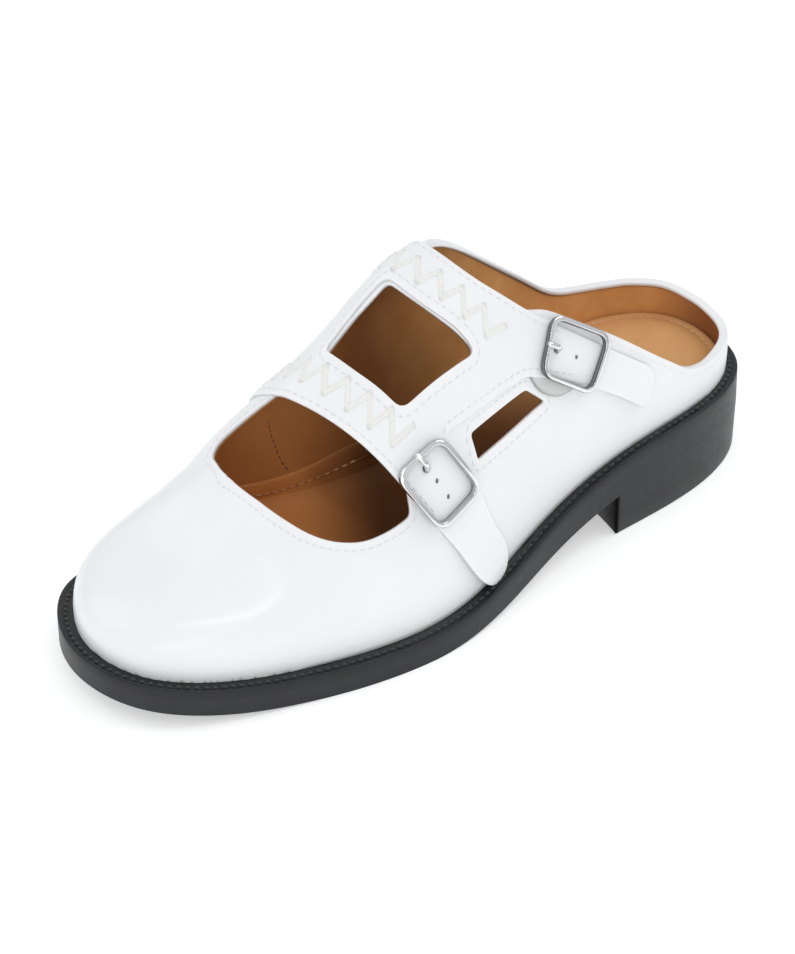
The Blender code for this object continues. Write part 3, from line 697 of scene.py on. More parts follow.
# The last three colours of each paint light and shade: a lit toe tone, shade in the vamp, shade inside
# the back wall.
TAN = tan_leather("tan_lining", (0.67, 0.32, 0.108), (0.85, 0.45, 0.175), (0.62, 0.27, 0.088),
                  (0.17, 0.052, 0.014), (0.075, 0.005), (0.27, 0.105, 0.04))
SOCK_TAN = tan_leather("tan_sock", (0.60, 0.31, 0.125), (0.69, 0.385, 0.165), (0.74, 0.32, 0.105),
                       (0.12, 0.05, 0.018), (0.110, 0.035), (0.62, 0.33, 0.135))
BLACK_WELT = black_edge("black_welt_wax", (0.0065, 0.0067, 0.0076))
BLACK_SOLE = black_edge("black_sole_wax", (0.010, 0.0103, 0.0116))
# Its breast face is painted near-black shade.
BLACK_HEEL = black_edge("black_heel_wax", (0.010, 0.0103, 0.0116), (0.0584, 0.0602))
WHITE_THREAD = thread_finish("white_thread", (0.66, 0.665, 0.67), (0.79, 0.795, 0.80))
ZIGZAG_THREAD = thread_finish("zigzag_thread_finish", (0.74, 0.735, 0.705), (0.82, 0.815, 0.79))
BLACK_THREAD = thread_finish("black_thread", (0.012, 0.012, 0.013), (0.03, 0.03, 0.032))
TAN_THREAD = thread_finish("tan_thread", (0.66, 0.40, 0.20), (0.78, 0.52, 0.30))
BROWN_THREAD = thread_finish("brown_thread", (0.10, 0.045, 0.02), (0.20, 0.09, 0.04))
STEEL = polished("polished_nickel", (0.74, 0.74, 0.75), (0.035, 0.035, 0.04))
print("finishes:", len(bpy.data.materials))

# %% [markdown]
# ## Upper
# The upper is one layer of white calf over a tan lining. At the collar the calf is rolled
# over the edge. At the other openings the two are cut together, and a fine dark line
# shows under the white edge: the lining's burnished edge, deepened with painted shade.
# The outlines are in the flat pattern: the collar of the open back, the square window over
# the instep, the wide gap behind the toe cap, and the slim slot beside the strap panel.

# %% Outlines of the upper
COLLAR = (
    (85.2, 1.0), (83.6, 10.2), (80.3, 19.2), (76.4, 24.6), (72.0, 29.2), (66.7, 32.9), (60.6, 34.9),
    (55.2, 38.3), (40.5, 49.2), (22.4, 62.3), (13.3, 67.9), (7.2, 71.3), (-0.8, 73.2), (-9.0, 73.2),
    (-17.5, 71.7), (-31.0, 66.9), (-46.0, 57.9), (-58.3, 45.9), (-67.0, 31.8), (-72.0, 16.8),
    (-73.4, 1.0), (-71.4, -15.0), (-65.0, -31.2), (-54.9, -46.0), (-42.8, -57.2), (-28.5, -65.2),
    (-12.0, -70.0), (8.6, -70.2), (19.9, -67.5), (31.7, -59.4), (45.8, -47.0), (59.2, -33.4),
    (72.0, -19.4),
)
WINDOW = (
    (102.4, 1.4, 2.2), (101.6, 7.9), (99.9, 14.6), (97.4, 21.3), (94.4, 27.7), (91.2, 35.7, 3.4),
    (102.3, 33.9), (111.0, 32.1), (122.4, 30.2, 3.6), (125.0, 19.3), (126.9, 12.0),
    (128.6, -0.7, 2.6), (121.0, -0.7), (112.0, 0.5),
)
VAMP = (
    (131.4, 53.0, 1.6), (130.4, 40.2), (134.6, 31.8), (138.2, 20.9), (142.2, 6.9),
    (144.4, -6.4, 1.2), (151.1, -9.8), (157.2, -13.6), (161.8, -17.4), (165.3, -19.3),
    (167.6, -17.6), (169.3, -12.2), (170.3, -6.5), (170.75, -2.8), (170.7, 0.0), (170.75, 2.8),
    (170.75, 5.5), (170.5, 9.0), (169.5, 16.4), (168.3, 23.0), (166.2, 30.5), (163.9, 36.4),
    (161.0, 41.4), (157.4, 45.6), (153.2, 48.8), (148.6, 51.1), (143.6, 52.3), (138.0, 52.9),
)
SLOT = (
    (76.6, 51.9, 1.6), (89.9, 51.2), (102.8, 49.6, 1.2), (102.4, 56.3, 1.0), (88.0, 57.9),
    (69.8, 57.7, 1.4),
)
OPENINGS = {"collar": outline(COLLAR), "window": outline(WINDOW),
            "vamp": outline(VAMP), "slot": outline(SLOT, 1.0)}
for name, points in OPENINGS.items():
    print(name, len(points), "points")

# %% White upper
WALL = 2.2              # leather and lining together
CALF = 1.3              # leather alone
CELL = 2.2              # squares that a piece is scored into
MARGIN = 0.7            # what the upper runs on below the top of the welt
CHANNEL = 0.55          # half the width of a stitch channel, and of its floor
CHANNEL_FLOOR = 0.25
CHANNEL_DEPTH = 0.04


def stadium(reach):
    """Outline of the whole flat pattern, out to a distance from its spine."""
    turns = np.linspace(0, math.pi, 170)[1:-1]
    rows = [(p, reach) for p in np.linspace(0, SPINE, 100)]
    rows += [(SPINE + reach * math.sin(a), reach * math.cos(a)) for a in turns]
    rows += [(p, -reach) for p in np.linspace(SPINE, 0, 100)]
    rows += [(-reach * math.sin(a), reach * math.cos(a)) for a in turns[::-1]]
    return np.array(rows)


def channelled(edge, inset, high):
    """A rounded edge, and after it the shallow channel that the thread lies in."""
    return (*edge, (inset - CHANNEL, high), (inset - CHANNEL_FLOOR, high - CHANNEL_DEPTH),
            (inset + CHANNEL_FLOOR, high - CHANNEL_DEPTH), (inset + CHANNEL, high))


FEATHER_RIM = ((0.0, -CALF), (0.0, 0.0))
CUT = ((0.0, -CALF, 0.6), (0.0, -0.3, 1.0), (0.06, -0.12, 1.0), (0.2, -0.03, 0.8), (0.45, 0.0, 0.3))
HEM = 1.3               # calf rolled over the collar's edge, a little proud of the lining
ROLL = 3.1
TURNED = ((HEM + 0.2, -CALF), (HEM + 0.1, 0.3 - WALL, 0.3), (HEM, 0.25 - ROLL),
          (HEM - 0.35, -ROLL), (0.45, -ROLL), (0.12, 0.15 - ROLL), (0.0, 0.45 - ROLL),
          (0.0, -0.3, 0.3), (0.06, -0.12, 0.3), (0.2, -0.03, 0.3), (0.45, 0.0, 0.3))
UPPER_THREAD = {"collar": 2.0, "window": 2.4, "vamp": 2.2, "slot": 2.3}
upper_loops = [(stadium(HALF_GIRTH + MARGIN), FEATHER_RIM)]
for name, inset in UPPER_THREAD.items():
    upper_loops.append((OPENINGS[name], channelled(TURNED if name == "collar" else CUT, inset, 0.0)))
add_piece(cut_plate(upper_loops, CELL), on_upper, "upper_leather", WHITE, "white_leather", "upper")

# %% Tan lining
LINING_HIGH = -CALF - 0.08
# The third number darkens the lining's edge: burnish, deepened with painted shade.
LINING_EDGES = (("collar", HEM + 0.3, 0.5), ("vamp", 0.1, 0.6), ("window", 0.1, 0.5),
                ("slot", 0.1, 0.0))


def lining_rim(setback, burnish_and_shade):
    """Rim of a lining that stays back from the opening. The second argument says how dark its edge is:
    burnish, deepened with painted shade.
    """
    return ((setback + 0.7, -WALL), (setback + 0.15, -WALL + 0.06, burnish_and_shade),
            (setback, -WALL + 0.25, burnish_and_shade), (setback, LINING_HIGH, burnish_and_shade))


lining_loops = [(stadium(HALF_GIRTH + MARGIN - 0.01), ((0.0, -WALL), (0.0, LINING_HIGH)))]
for name, setback, burnish_and_shade in LINING_EDGES:
    lining_loops.append((OPENINGS[name], lining_rim(setback, burnish_and_shade)))
add_piece(cut_plate(lining_loops, CELL), on_upper, "upper_lining", TAN, "tan_leather")

# %% [markdown]
# ## Strap panel
# The second layer of calf carries both straps. It runs over the instep from the medial
# side, splits round the window, and its two tongues go through the buckles. The spare
# holes are real holes, punched with the outline, and a dark disc at the bottom of each
# paints the shade inside it.

# %% Outlines of the panel
PANEL = (
    (84.2, 1.2), (82.7, 9.8), (79.0, 18.9), (73.3, 26.5), (66.9, 33.4), (58.6, 40.3), (41.0, 54.2),
    (24.4, 65.6, 5.0), (29.1, 75.4, 5.0), (40.6, 67.8), (49.9, 61.9), (69.2, 51.6),
    (76.5, 48.6, 2.0), (94.0, 47.1), (112.0, 43.6, 2.0), (106.0, 59.0), (99.6, 73.4), (95.4, 80.4),
    (95.6, 83.4), (98.2, 85.1), (101.6, 85.2), (106.0, 83.4), (110.6, 79.5), (117.7, 69.6),
    (124.4, 59.1), (129.6, 48.8), (135.9, 31.8), (139.5, 21.3), (143.7, 7.9), (147.0, -6.0),
    (147.2, -25.0), (141.0, -54.0), (133.0, -84.4, 4.0), (84.0, -84.4, 4.0), (80.5, -55.0),
    (82.0, -26.0),
)
PANEL_WINDOW = (
    (101.6, 0.8, 2.4), (99.7, 14.4), (97.1, 21.1), (94.1, 27.5), (91.8, 35.5, 3.3), (102.1, 33.4),
    (110.7, 31.5), (121.7, 29.6, 3.6), (124.4, 19.1), (126.3, 11.8), (128.0, -1.6, 2.8),
    (119.0, -2.0), (111.0, -1.3),
)
BUCKLES = {
    "front": {"centre": (119.6, 51.2), "towards": (115.4, 59.7),
              "spare": ((119.9, 50.4), (117.5, 55.9))},
    "rear": {"centre": (56.2, 50.1), "towards": (46.7, 56.5), "spare": ((54.7, 51.4),)},
}
FRAME_LENGTH = 22.3         # along the middle of the frame's bars
FRAME_WIDTH = 19.2
FRAME_CORNER = 5.0
PRONG_REACH = 4.8
LAP_GAP = 0.45
STRAP = 1.3


# %% Lay things along a strap
def seat(buckle, layout):
    """Lay flat points (u along the strap, v across it, in mm) on the last, as pattern points."""
    centre = np.array(buckle["centre"])
    origin = on_last(*centre)
    normal = on_last(*centre, 1.0) - origin
    along = on_last(*buckle["towards"]) - origin
    along -= normal * (along @ normal) / (normal @ normal)
    across = np.cross(normal, along)
    axes = np.stack([along / np.linalg.norm(along), across / np.linalg.norm(across)]) / MM
    columns = [axes @ (on_last(*(centre + step)) - origin) for step in ((1.0, 0.0), (0.0, 1.0))]
    inverse = np.linalg.inv(np.stack(columns, axis=1))
    layout = np.asarray(layout, float)
    pattern = centre + layout @ inverse.T
    for _ in range(8):
        here = (on_last(pattern[:, 0], pattern[:, 1]) - origin) @ axes.T
        pattern += (layout - here) @ inverse.T
    return pattern


def on_strap(buckle):
    """A place for rows of (u, v, height) on a buckle's strap."""
    def place(flat):
        p, q = seat(buckle, flat[:, :2]).T
        return on_last(p, q, flat[:, 2])
    return place


def circle(radius, count=20):
    """A round outline about the origin."""
    turns = np.linspace(0, 2 * math.pi, count, endpoint=False)
    return np.stack([np.cos(turns), np.sin(turns)], axis=1) * radius


# %% White strap panel
PANEL_LOW = 0.05
PANEL_HIGH = 1.35
PANEL_CUT = ((0.0, PANEL_LOW, 1.0), (0.0, PANEL_HIGH - 0.32, 1.0), (0.07, PANEL_HIGH - 0.13, 1.0),
             (0.22, PANEL_HIGH - 0.03, 0.8), (0.5, PANEL_HIGH, 0.3))
PANEL_THREAD = 1.95
WINDOW_THREAD = 2.6
HOLE_RIM = ((0.0, PANEL_LOW), (0.0, PANEL_HIGH - 0.3), (0.3, PANEL_HIGH - 0.04, 0.5),
            (0.6, PANEL_HIGH))
PRONG_HOLE = 1.3
SPARE_HOLE = 0.55
SHADOW_DEPTH = 0.5          # dark disc at the bottom of a spare hole, painted shade
panel_loops = [(outline(PANEL), channelled(PANEL_CUT, PANEL_THREAD, PANEL_HIGH)),
               (outline(PANEL_WINDOW), channelled(PANEL_CUT, WINDOW_THREAD, PANEL_HIGH))]
for buckle in BUCKLES.values():
    hole = seat(buckle, circle(PRONG_HOLE) + (PRONG_REACH - FRAME_LENGTH / 2, 0.0))
    panel_loops.append((hole, HOLE_RIM))
    for spot in buckle["spare"]:
        panel_loops.append((circle(SPARE_HOLE, 16) + spot, HOLE_RIM))


TONGUE_LIFT = 1.8
TONGUE_BEND = 1.5           # power of the tongues' rise towards their ends
FRONT_RISE = (58.0, 22.0)   # where a tongue starts to rise, and over what length
REAR_RISE = (52.0, 20.0)
FRONT_SIDE = (0.85, 0.52, 14.0, 0.3)    # way to the lower edge, width, share at the upper edge
REAR_SIDE = (0.56, 0.83, 12.0, 0.2)
FRONT_BEHIND = 80.0         # the front tongue lies in front of this place


def lower_side(p, q, buckle, way_p, way_q, width, least):
    """A share that grows over a tongue's width, up to 1 at its lower edge."""
    over = way_p * (p - buckle["towards"][0]) + way_q * (q - buckle["towards"][1])
    return least + (1 - least) * np.clip(0.5 + over / width, 0, 1)


def on_panel(flat):
    """Rows of (p, q, height). Each tongue's lower edge stands a little off the upper."""
    p, q, height = flat.T
    front = np.clip((q - FRONT_RISE[0]) / FRONT_RISE[1], 0, 1) ** TONGUE_BEND * (p > FRONT_BEHIND)
    rear = np.clip((REAR_RISE[0] - p) / REAR_RISE[1], 0, 1) ** TONGUE_BEND * (q > 0)
    front *= lower_side(p, q, BUCKLES["front"], *FRONT_SIDE)
    rear *= lower_side(p, q, BUCKLES["rear"], *REAR_SIDE)
    return on_last(p, q, height + TONGUE_LIFT * (front + rear))


panel_bm = cut_plate(panel_loops, CELL)
add_piece(panel_bm, on_panel, "strap_panel_leather", STRAP_WHITE, "strap_leather", "strap_panel")
# Dark discs under the spare holes paint the shade inside them.
hollow_bm = bmesh.new()
for buckle in BUCKLES.values():
    for spot in buckle["spare"]:
        disc = Matrix.Translation((*spot, PANEL_HIGH - SHADOW_DEPTH - 0.05))
        bmesh.ops.create_cone(hollow_bm, cap_ends=True, segments=16, radius1=SPARE_HOLE + 0.02,
                              radius2=SPARE_HOLE + 0.02, depth=SHADOW_DEPTH, matrix=disc)
add_piece(hollow_bm, on_panel, "spare_hole_shadows", HOLE_SHADE_GREY, "strap_leather")


# %% [markdown]
# ## Thread
# A lockstitch shows as a row of short plump dashes, each pulled down into the leather at
# its two ends. One stitch is a small stretched sphere, and a row of them is bent over the
# last together with its piece, so hundreds of stitches make one mesh.

# %% Stitches
def add_stitches(bm, points, height, pitch, length, thickness, closed=True):
    """Add stitches along a line in the pattern, lying at a height above the leather."""
    line = np.vstack([points, points[:1]]) if closed else np.asarray(points)
    count = max(2, round(run_along(line)[-1] / pitch))
    spots = even(line, count * 2 + 1)
    for start, centre, stop in zip(spots[:-2:2], spots[1:-1:2], spots[2::2]):
        way = stop - start
        place = (Matrix.Translation((*centre, height))
                 @ Matrix.Rotation(math.atan2(way[1], way[0]), 4, "Z")
                 @ Matrix.Diagonal((length / 2, thickness / 2, thickness / 2, 1.0))
                 @ Matrix.Rotation(math.radians(90), 4, "Y"))
        bmesh.ops.create_uvsphere(bm, u_segments=6, v_segments=5, radius=1.0, matrix=place)
    return count


def sew(name, place, finish, slot_name, height, stitch, *rows, closed=False):
    """Sew rows of stitches at one height, and make them one piece."""
    bm = bmesh.new()
    made = sum(add_stitches(bm, row, height, *stitch, closed) for row in rows)
    print(name, "has", made)
    add_piece(bm, place, name, finish, slot_name)


STITCH = (2.8, 1.9, 0.42)           # pitch, length, thickness
WELT_STITCH = (2.9, 1.9, 1.3)
SOCK_STITCH = (2.9, 2.1, 0.5)
SEAM_STITCH = (2.4, 1.7, 0.45)
FRONT_TONGUE = (80.0, 57.0)         # a tongue is what lies beyond such a place
REAR_TONGUE = (57.0, 38.0)


def stitched_part(points, thread_inset, hole=False):
    """The thread's line inside an outline, without the tongues, as open runs of points."""
    line = moved(turned(points, hole), thread_inset)
    p, q = line.T
    tongue = (p > FRONT_TONGUE[0]) & (q > FRONT_TONGUE[1]) | (p < REAR_TONGUE[0]) & (q > REAR_TONGUE[1])
    cuts = np.flatnonzero(tongue)
    if not len(cuts):
        return [np.vstack([line, line[:1]])]
    line = np.roll(line, -cuts[-1] - 1, axis=0)
    tongue = np.roll(tongue, -cuts[-1] - 1)
    runs = np.split(np.arange(len(line)), np.flatnonzero(np.diff(tongue.astype(int))) + 1)
    return [line[run] for run in runs if not tongue[run[0]] and len(run) > 3]


upper_thread = bmesh.new()
for name, sunk in (("collar", 0.13), ("vamp", 0.03), ("slot", 0.03)):
    row = moved(turned(OPENINGS[name], hole=True), UPPER_THREAD[name])
    add_stitches(upper_thread, row, -sunk, *STITCH)
add_piece(upper_thread, on_upper, "upper_stitches", WHITE_THREAD, "white_leather")
panel_rows = (stitched_part(outline(PANEL), PANEL_THREAD)
              + stitched_part(outline(PANEL_WINDOW), WINDOW_THREAD, hole=True))
sew("panel_stitches", on_upper, WHITE_THREAD, "strap_leather", PANEL_HIGH - 0.03, STITCH, *panel_rows)

# %% [markdown]
# ## Zigzag thread
# Each strap carries one line of thick tonal thread, run as a plain even zigzag down its
# middle. Every leg is one plump bar of thread that lies on the leather.

# %% Zigzag
ZIGZAG_LINES = {
    "rear": ((93.0, -34.0), (95.5, -20.0), (95.6, -6.0), (93.6, 6.0), (89.6, 18.5), (84.6, 29.0),
             (81.0, 36.0)),
    "front": ((139.0, -34.0), (138.2, -20.0), (136.6, -6.0), (134.4, 6.0), (131.2, 18.5), (127.4, 29.0),
              (124.0, 36.5)),
}
ZIGZAG_STEP = 4.4
ZIGZAG_REACH = 3.5
ZIGZAG_WIDTH = 1.8
ZIGZAG_RISE = 0.34
ZIGZAG_ROUNDING = 0.3
zigzag_bm = bmesh.new()
for line in ZIGZAG_LINES.values():
    fine = cubic(range(len(line)), line)(np.linspace(0, len(line) - 1, 400))
    spots = even(fine, round(run_along(fine)[-1] / ZIGZAG_STEP) + 1)
    way = np.gradient(spots, axis=0)
    side = np.stack([-way[:, 1], way[:, 0]], axis=1) / np.linalg.norm(way, axis=1, keepdims=True)
    turns = spots + side * ZIGZAG_REACH * np.where(np.arange(len(spots)) % 2, 1, -1)[:, None]
    for start, stop in zip(turns[:-1], turns[1:]):
        leg = stop - start
        centre = (start + stop) / 2
        half_length = np.linalg.norm(leg) / 2 + ZIGZAG_WIDTH * 0.4
        size = Matrix.Diagonal((half_length, ZIGZAG_WIDTH / 2, ZIGZAG_RISE, 1.0))
        place = (Matrix.Translation((*centre, PANEL_HIGH - 0.05))
                 @ Matrix.Rotation(math.atan2(leg[1], leg[0]), 4, "Z"))
        bar = bmesh.ops.create_cube(zigzag_bm, size=2.0, matrix=size)["verts"]
        long_edges = [edge for edge in {edge for vert in bar for edge in vert.link_edges}
                      if abs(edge.verts[0].co.x - edge.verts[1].co.x) > half_length]
        cut = bmesh.ops.subdivide_edges(zigzag_bm, edges=long_edges, cuts=5)
        whole = {vert for vert in zigzag_bm.verts if vert in bar} | {
            part for part in cut["geom_inner"] if isinstance(part, bmesh.types.BMVert)}
        rounded = bmesh.ops.bevel(
            zigzag_bm, geom=list({edge for vert in whole for edge in vert.link_edges
                                  if abs(edge.verts[0].co.x - edge.verts[1].co.x) > 0.01}),
            affect="EDGES", offset=ZIGZAG_ROUNDING, segments=2, profile=0.5, material=-1)
        whole = {vert for vert in whole if vert.is_valid} | set(rounded["verts"])
        bmesh.ops.transform(zigzag_bm, matrix=place, verts=list(whole))
add_piece(zigzag_bm, on_upper, "zigzag_thread", ZIGZAG_THREAD, "strap_leather")

# %% [markdown]
# ## Buckle tab
# The rear buckle is held by a small tab of leather that looks out under its front corner. Its grey
# colour is painted shade from the buckle above it.

# %% Tab under the rear buckle
TAB = (
    (62.0, 50.0, 1.5), (74.6, 48.4, 1.0), (73.4, 51.6), (71.4, 54.4), (68.4, 56.6), (64.6, 58.4),
    (58.0, 59.0, 1.5),
)
TAB_HIGH = 1.0
TAB_RIM = ((0.0, 0.05, 1.0), (0.0, TAB_HIGH - 0.4, 1.0), (0.12, TAB_HIGH - 0.15, 1.0),
           (0.4, TAB_HIGH, 0.5), (0.9, TAB_HIGH))
tab_bm = cut_plate([(outline(TAB, 0.8), TAB_RIM)], CELL)
# Its grey colour is painted shade.
add_piece(tab_bm, on_upper, "rear_buckle_tab", TAB_SHADE_GREY, "strap_leather")

# %% [markdown]
# ## Bottom
# The welt is a flat strip sewn round the feather edge, the outsole is glued under it, and
# the heel is a block under the back. They are cut in plan, station along the shoe and
# offset across it, and then bent to the side profile, so that the toe springs up and the
# waist arches.


# %% Bend the bottom
def on_profile(flat):
    """Rows of (station, offset, height above the feather edge)."""
    return world_point(flat[:, 0], flat[:, 1], SECTION["feather"](flat[:, 0]) + flat[:, 2])


WELT = 3.0
GAP = 0.3
WELT_WIDTH = 10.2
BOTTOM_CELL = 4.0
sole_loop = even(SOLE, 320, closed=True)
welt_inner = moved(sole_loop, WELT_WIDTH - LEDGE_FORE + ledge(sole_loop[:, 0]))
WELT_LOW = -WELT - GAP
WELT_RIM = ((1.2, WELT_LOW), (0.03, WELT_LOW), (0.0, WELT_LOW + 0.02), (0.0, WELT_LOW + 0.1),
            (0.0, -0.55), (0.1, -0.28), (0.35, -0.13), (0.8, -0.1), (1.4, -0.1),
            (1.7, -0.4), (3.9, -0.4), (4.2, -0.1))
INNER_RIM = ((0.0, WELT_LOW), (0.0, -0.1))
welt_bm = cut_plate([(sole_loop, WELT_RIM), (welt_inner, INNER_RIM)], BOTTOM_CELL)
add_piece(welt_bm, on_profile, "welt_strip", BLACK_WELT, "black_welt", "welt")

# %% Welt thread
WELT_THREAD = 2.8
sew("welt_stitches", on_profile, BLACK_THREAD, "black_welt", -0.45, WELT_STITCH,
    moved(sole_loop, WELT_THREAD), closed=True)


# %% Outsole
def on_sole(flat):
    """Rows of (station, offset, share of the way from the sole's underside to the welt)."""
    low = under_sole(flat[:, 0])
    high = SECTION["feather"](flat[:, 0]) + WELT_LOW
    return world_point(flat[:, 0], flat[:, 1], low + (high - low) * flat[:, 2])


SOLE_RIM = ((7.2, 0.0), (6.6, 0.03), (6.2, 0.03), (5.6, 0.0), (0.7, 0.0), (0.03, 0.0),
            (0.0, 0.004), (0.0, 0.02), (0.0, 0.98), (0.0, 0.996), (0.03, 1.0), (0.6, 1.0))
sole_bm = cut_plate([(sole_loop, SOLE_RIM)], BOTTOM_CELL)
add_piece(sole_bm, on_sole, "outsole_leather", BLACK_SOLE, "black_sole", "outsole")

# %% Heel block
BREAST = 78.2
BREAST_HOLLOW = 3.5
HEEL_TAPER = 0.4
LATERAL_SOLE, MEDIAL_SOLE = halves(SOLE)
breast_middle = float(LATERAL_SOLE(BREAST) + MEDIAL_SOLE(BREAST)) / 2
breast_half = float(LATERAL_SOLE(BREAST) - MEDIAL_SOLE(BREAST)) / 2
fine = even(SOLE, 720, closed=True)
rear = fine[fine[:, 0] < BREAST - 0.6]
rear = rear[np.argsort(np.arctan2(rear[:, 1] - breast_middle, rear[:, 0] - BREAST) % (2 * math.pi))]
across = np.linspace(-1, 1, 41)
hollow = BREAST - BREAST_HOLLOW * (1 - across ** 2)
breast = np.stack([hollow, breast_middle + breast_half * across], axis=1)
heel_loop = even(np.vstack([rear, breast]), 200, closed=True)


def on_heel(flat):
    """Rows of (station, offset, share of the way up), drawn in a little towards the floor."""
    share = flat[:, 2]
    drawn = 1 - (1 - share) * HEEL_TAPER / breast_half
    station = BREAST + (flat[:, 0] - BREAST) * drawn
    offset = breast_middle + (flat[:, 1] - breast_middle) * drawn
    return world_point(station, offset, under_sole(flat[:, 0]) * share)


HEEL_RIM = ((0.9, 0.0), (0.25, 0.012), (0.0, 0.05), (0.0, 0.35), (0.0, 0.7),
            (0.0, 0.985), (0.0, 0.998), (0.02, 1.0))
heel_bm = cut_plate([(heel_loop, HEEL_RIM)], BOTTOM_CELL)
add_piece(heel_bm, on_heel, "heel_block", BLACK_HEEL, "black_heel", "heel")

# %% [markdown]
# ## Sock
# A tan sock of soft leather covers the insole, with a padded heel piece sewn round its
# edge. It is seen through the open back and through the gap in the vamp.

# %% Sock and heel pad
INSOLE = 3.0
sock_loop = moved(sole_loop, ledge(sole_loop[:, 0]) + WALL + 0.1)
SOCK_RIM = ((0.0, 0.0), (0.0, INSOLE + 0.2), (0.3, INSOLE + 0.75), (1.0, INSOLE + 1.05),
            (1.9, INSOLE + 0.95), (2.5, INSOLE + 0.55), (2.9, INSOLE + 0.5),
            (3.6, INSOLE + 0.7), (6.0, INSOLE + 0.9))
SOCK_TOP = INSOLE + 0.9
PAD_END = 112.0             # the padded bead's front end, and how long it takes to fade
PAD_FADE = 25.0
COVE = 7.0                  # radius of the cupped edge, where it runs, and its run-out
COVE_FROM = 118.0
COVE_TO = 206.0
COVE_FADE = 14.0
COVE_LEAN = 0.12


def on_sock(flat):
    """Rows of (station, offset, height). The bead fades out in front of the heel, and the
    medial edge is cupped up along the wall under the foot's arch."""
    station, offset, height = flat.T
    kept = np.clip((PAD_END - station) / PAD_FADE, 0, 1)
    height = np.where(height > INSOLE + 0.25, SOCK_TOP + (height - SOCK_TOP) * kept, height)
    inward = np.clip(offset - MEDIAL_FOOT(station) - WALL - 0.1, 0, COVE)
    fillet = COVE - np.sqrt(COVE ** 2 - (COVE - inward) ** 2)
    ends = (np.clip((station - COVE_FROM) / COVE_FADE, 0, 1)
            * np.clip((COVE_TO - station) / COVE_FADE, 0, 1))
    lift = fillet * ends ** 2 * (3 - 2 * ends) * (height > INSOLE)
    return on_profile(np.stack([station, offset - COVE_LEAN * lift, height + lift], axis=1))


sock_bm = cut_plate([(sock_loop, SOCK_RIM)], BOTTOM_CELL)
add_piece(sock_bm, on_sock, "insole_sock", SOCK_TAN, "tan_leather", "insole")
SOCK_THREAD = 2.75
sock_row = moved(sock_loop, SOCK_THREAD)
sock_row = np.roll(sock_row, -sock_row[:, 0].argmax(), axis=0)
sock_row = sock_row[sock_row[:, 0] < PAD_END - PAD_FADE]
sew("sock_stitches", on_sock, TAN_THREAD, "tan_leather", INSOLE + 0.6, SOCK_STITCH, sock_row)

# %% [markdown]
# ## Arch wing
# On the medial side the sock is cupped: a wing of it climbs the wall of the lining and
# ends in a stitched band. It is cut in the same pattern as the upper and bent over the
# inner side of the wall, and its foot disappears behind the sock's cupped edge.

# %% Wing of the sock
WING = (
    (88.0, -82.6, 1.0), (96.0, -76.4), (106.0, -73.3), (119.0, -73.6), (130.0, -73.9),
    (139.0, -73.3), (150.0, -71.6), (160.0, -69.5, 2.0), (166.0, -83.0, 1.0), (130.0, -83.0),
)
WING_HIGH = -WALL - 0.05
WING_BAND = 4.2
WING_RIM = ((WING_BAND + 1.2, -0.7), (WING_BAND + 0.3, -0.58), (WING_BAND - 0.3, -0.58),
            (WING_BAND - 1.0, -0.75), (1.0, -0.75), (0.3, -0.6), (0.0, -0.25), (0.0, 0.0))


def on_wing(flat):
    """Rows of (p, q, depth inside the lining)."""
    p, q, depth = flat.T
    return on_last(p, q, WING_HIGH + depth)


wing_bm = cut_plate([(outline(WING), WING_RIM)], CELL)
add_piece(wing_bm, on_wing, "sock_wing", SOCK_TAN, "tan_leather")
wing_row = np.array([(p, q - WING_BAND) for p, q in WING[2:7]])
sew("wing_stitches", on_wing, TAN_THREAD, "tan_leather", -0.6, SOCK_STITCH, even(wing_row, 40))
LINING_SEAM = ((137.5, -50.0), (135.0, -59.0), (133.0, -65.0), (131.0, -70.0), (129.0, -73.2))
sew("lining_seams", on_upper, BROWN_THREAD, "tan_leather", -WALL - 0.02, SEAM_STITCH,
    even(LINING_SEAM, 30))

# %% [markdown]
# ## Buckles
# Each frame is a flat-sided ring of plated steel, taller than it is wide, with softened
# corners. It is cut like a leather piece, as an outline with a hole, and bent the same
# way, so that it lies along the strap.


# %% Buckle frames
def rounded_box(length, width, corner):
    """A rectangle with round corners about the origin."""
    signs = ((-1, -1), (1, -1), (1, 1), (-1, 1))
    return outline([(x * length / 2, y * width / 2, corner) for x, y in signs], 0.8)


FRAME_WALL = 1.7
FRAME_LOW = LAP_GAP + STRAP + 0.05
FRAME_HIGH = FRAME_LOW + 2.3
FRAME_CELL = 2.0
# Painted dark reflections and shade on the frames' walls and shoulders, stronger on the rear frame.
FRAME_PAINTED_DARK = {"front": 0.4, "rear": 1.0}


def frame_rim(painted_dark):
    """Rim of a buckle's frame, whose walls and shoulders carry painted dark reflections and painted
    shade.
    """
    return ((0.35, FRAME_LOW, 1.0), (0.1, FRAME_LOW + 0.1, 1.0), (0.0, FRAME_LOW + 0.35, 1.0),
            (0.0, FRAME_LOW + 0.7, 0.7 * painted_dark), (0.0, FRAME_HIGH - 0.7, 0.7 * painted_dark),
            (0.03, FRAME_HIGH - 0.42, painted_dark), (0.13, FRAME_HIGH - 0.2, 0.6 * painted_dark),
            (0.3, FRAME_HIGH - 0.07), (0.6, FRAME_HIGH))


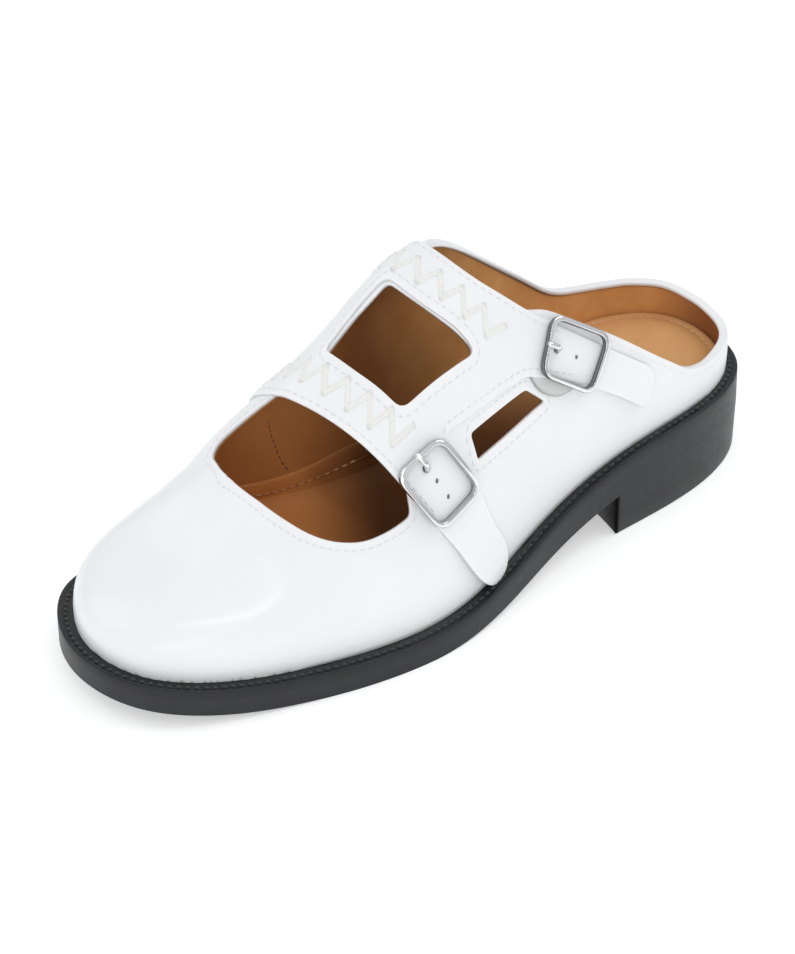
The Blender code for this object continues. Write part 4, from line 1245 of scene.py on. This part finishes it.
for place_name, buckle in BUCKLES.items():
    outer = rounded_box(FRAME_LENGTH + FRAME_WALL, FRAME_WIDTH + FRAME_WALL, FRAME_CORNER + 0.6)
    inner = rounded_box(FRAME_LENGTH - FRAME_WALL, FRAME_WIDTH - FRAME_WALL, FRAME_CORNER - 1.2)
    rim = frame_rim(FRAME_PAINTED_DARK[place_name])
    frame_bm = cut_plate([(outer, rim), (inner, rim)], FRAME_CELL)
    add_piece(frame_bm, on_strap(buckle), f"buckle_frame_{place_name}_steel", STEEL,
              "polished_steel", f"buckle_frame_{place_name}")

# %% Buckle prongs
PRONG = 0.95
PRONG_TIP = 4.6             # step of the route where the tip begins, and the tip's length
TIP_LENGTH = 0.42
over = FRAME_HIGH + PRONG * 0.85
bar = -FRAME_LENGTH / 2
PRONG_ROUTE = ((bar + PRONG_REACH, 0.4), (bar + PRONG_REACH - 0.15, 2.4),
               (bar + PRONG_REACH - 1.4, over - 0.6), (bar + 2.0, over),
               (bar + 0.2, over), (bar - 1.5, over - 0.4))
steps = np.linspace(0, 5, 26)
spine = cubic(range(6), PRONG_ROUTE)(steps)
lean = np.gradient(spine, axis=0)
past = np.maximum(steps - PRONG_TIP, 0) / TIP_LENGTH
radii = PRONG * np.sqrt(np.clip(1 - past ** 2, 0.02, 1))
for place_name, buckle in BUCKLES.items():
    prong_bm = bmesh.new()
    before = None
    for (u, height), (du, dz), radius in zip(spine, lean, radii):
        turn = Matrix.Rotation(math.atan2(du, dz), 4, "Y")
        ring = bmesh.ops.create_circle(prong_bm, segments=14, radius=radius,
                                       matrix=Matrix.Translation((u, 0, height)) @ turn)["verts"]
        edges = list({edge for vert in ring for edge in vert.link_edges})
        if before:
            bmesh.ops.bridge_loops(prong_bm, edges=before + edges)
        before = edges
    bmesh.ops.holes_fill(prong_bm, edges=prong_bm.edges[:], sides=0)
    add_piece(prong_bm, on_strap(buckle), f"buckle_prong_{place_name}_steel", STEEL,
              "polished_steel", f"buckle_prong_{place_name}")
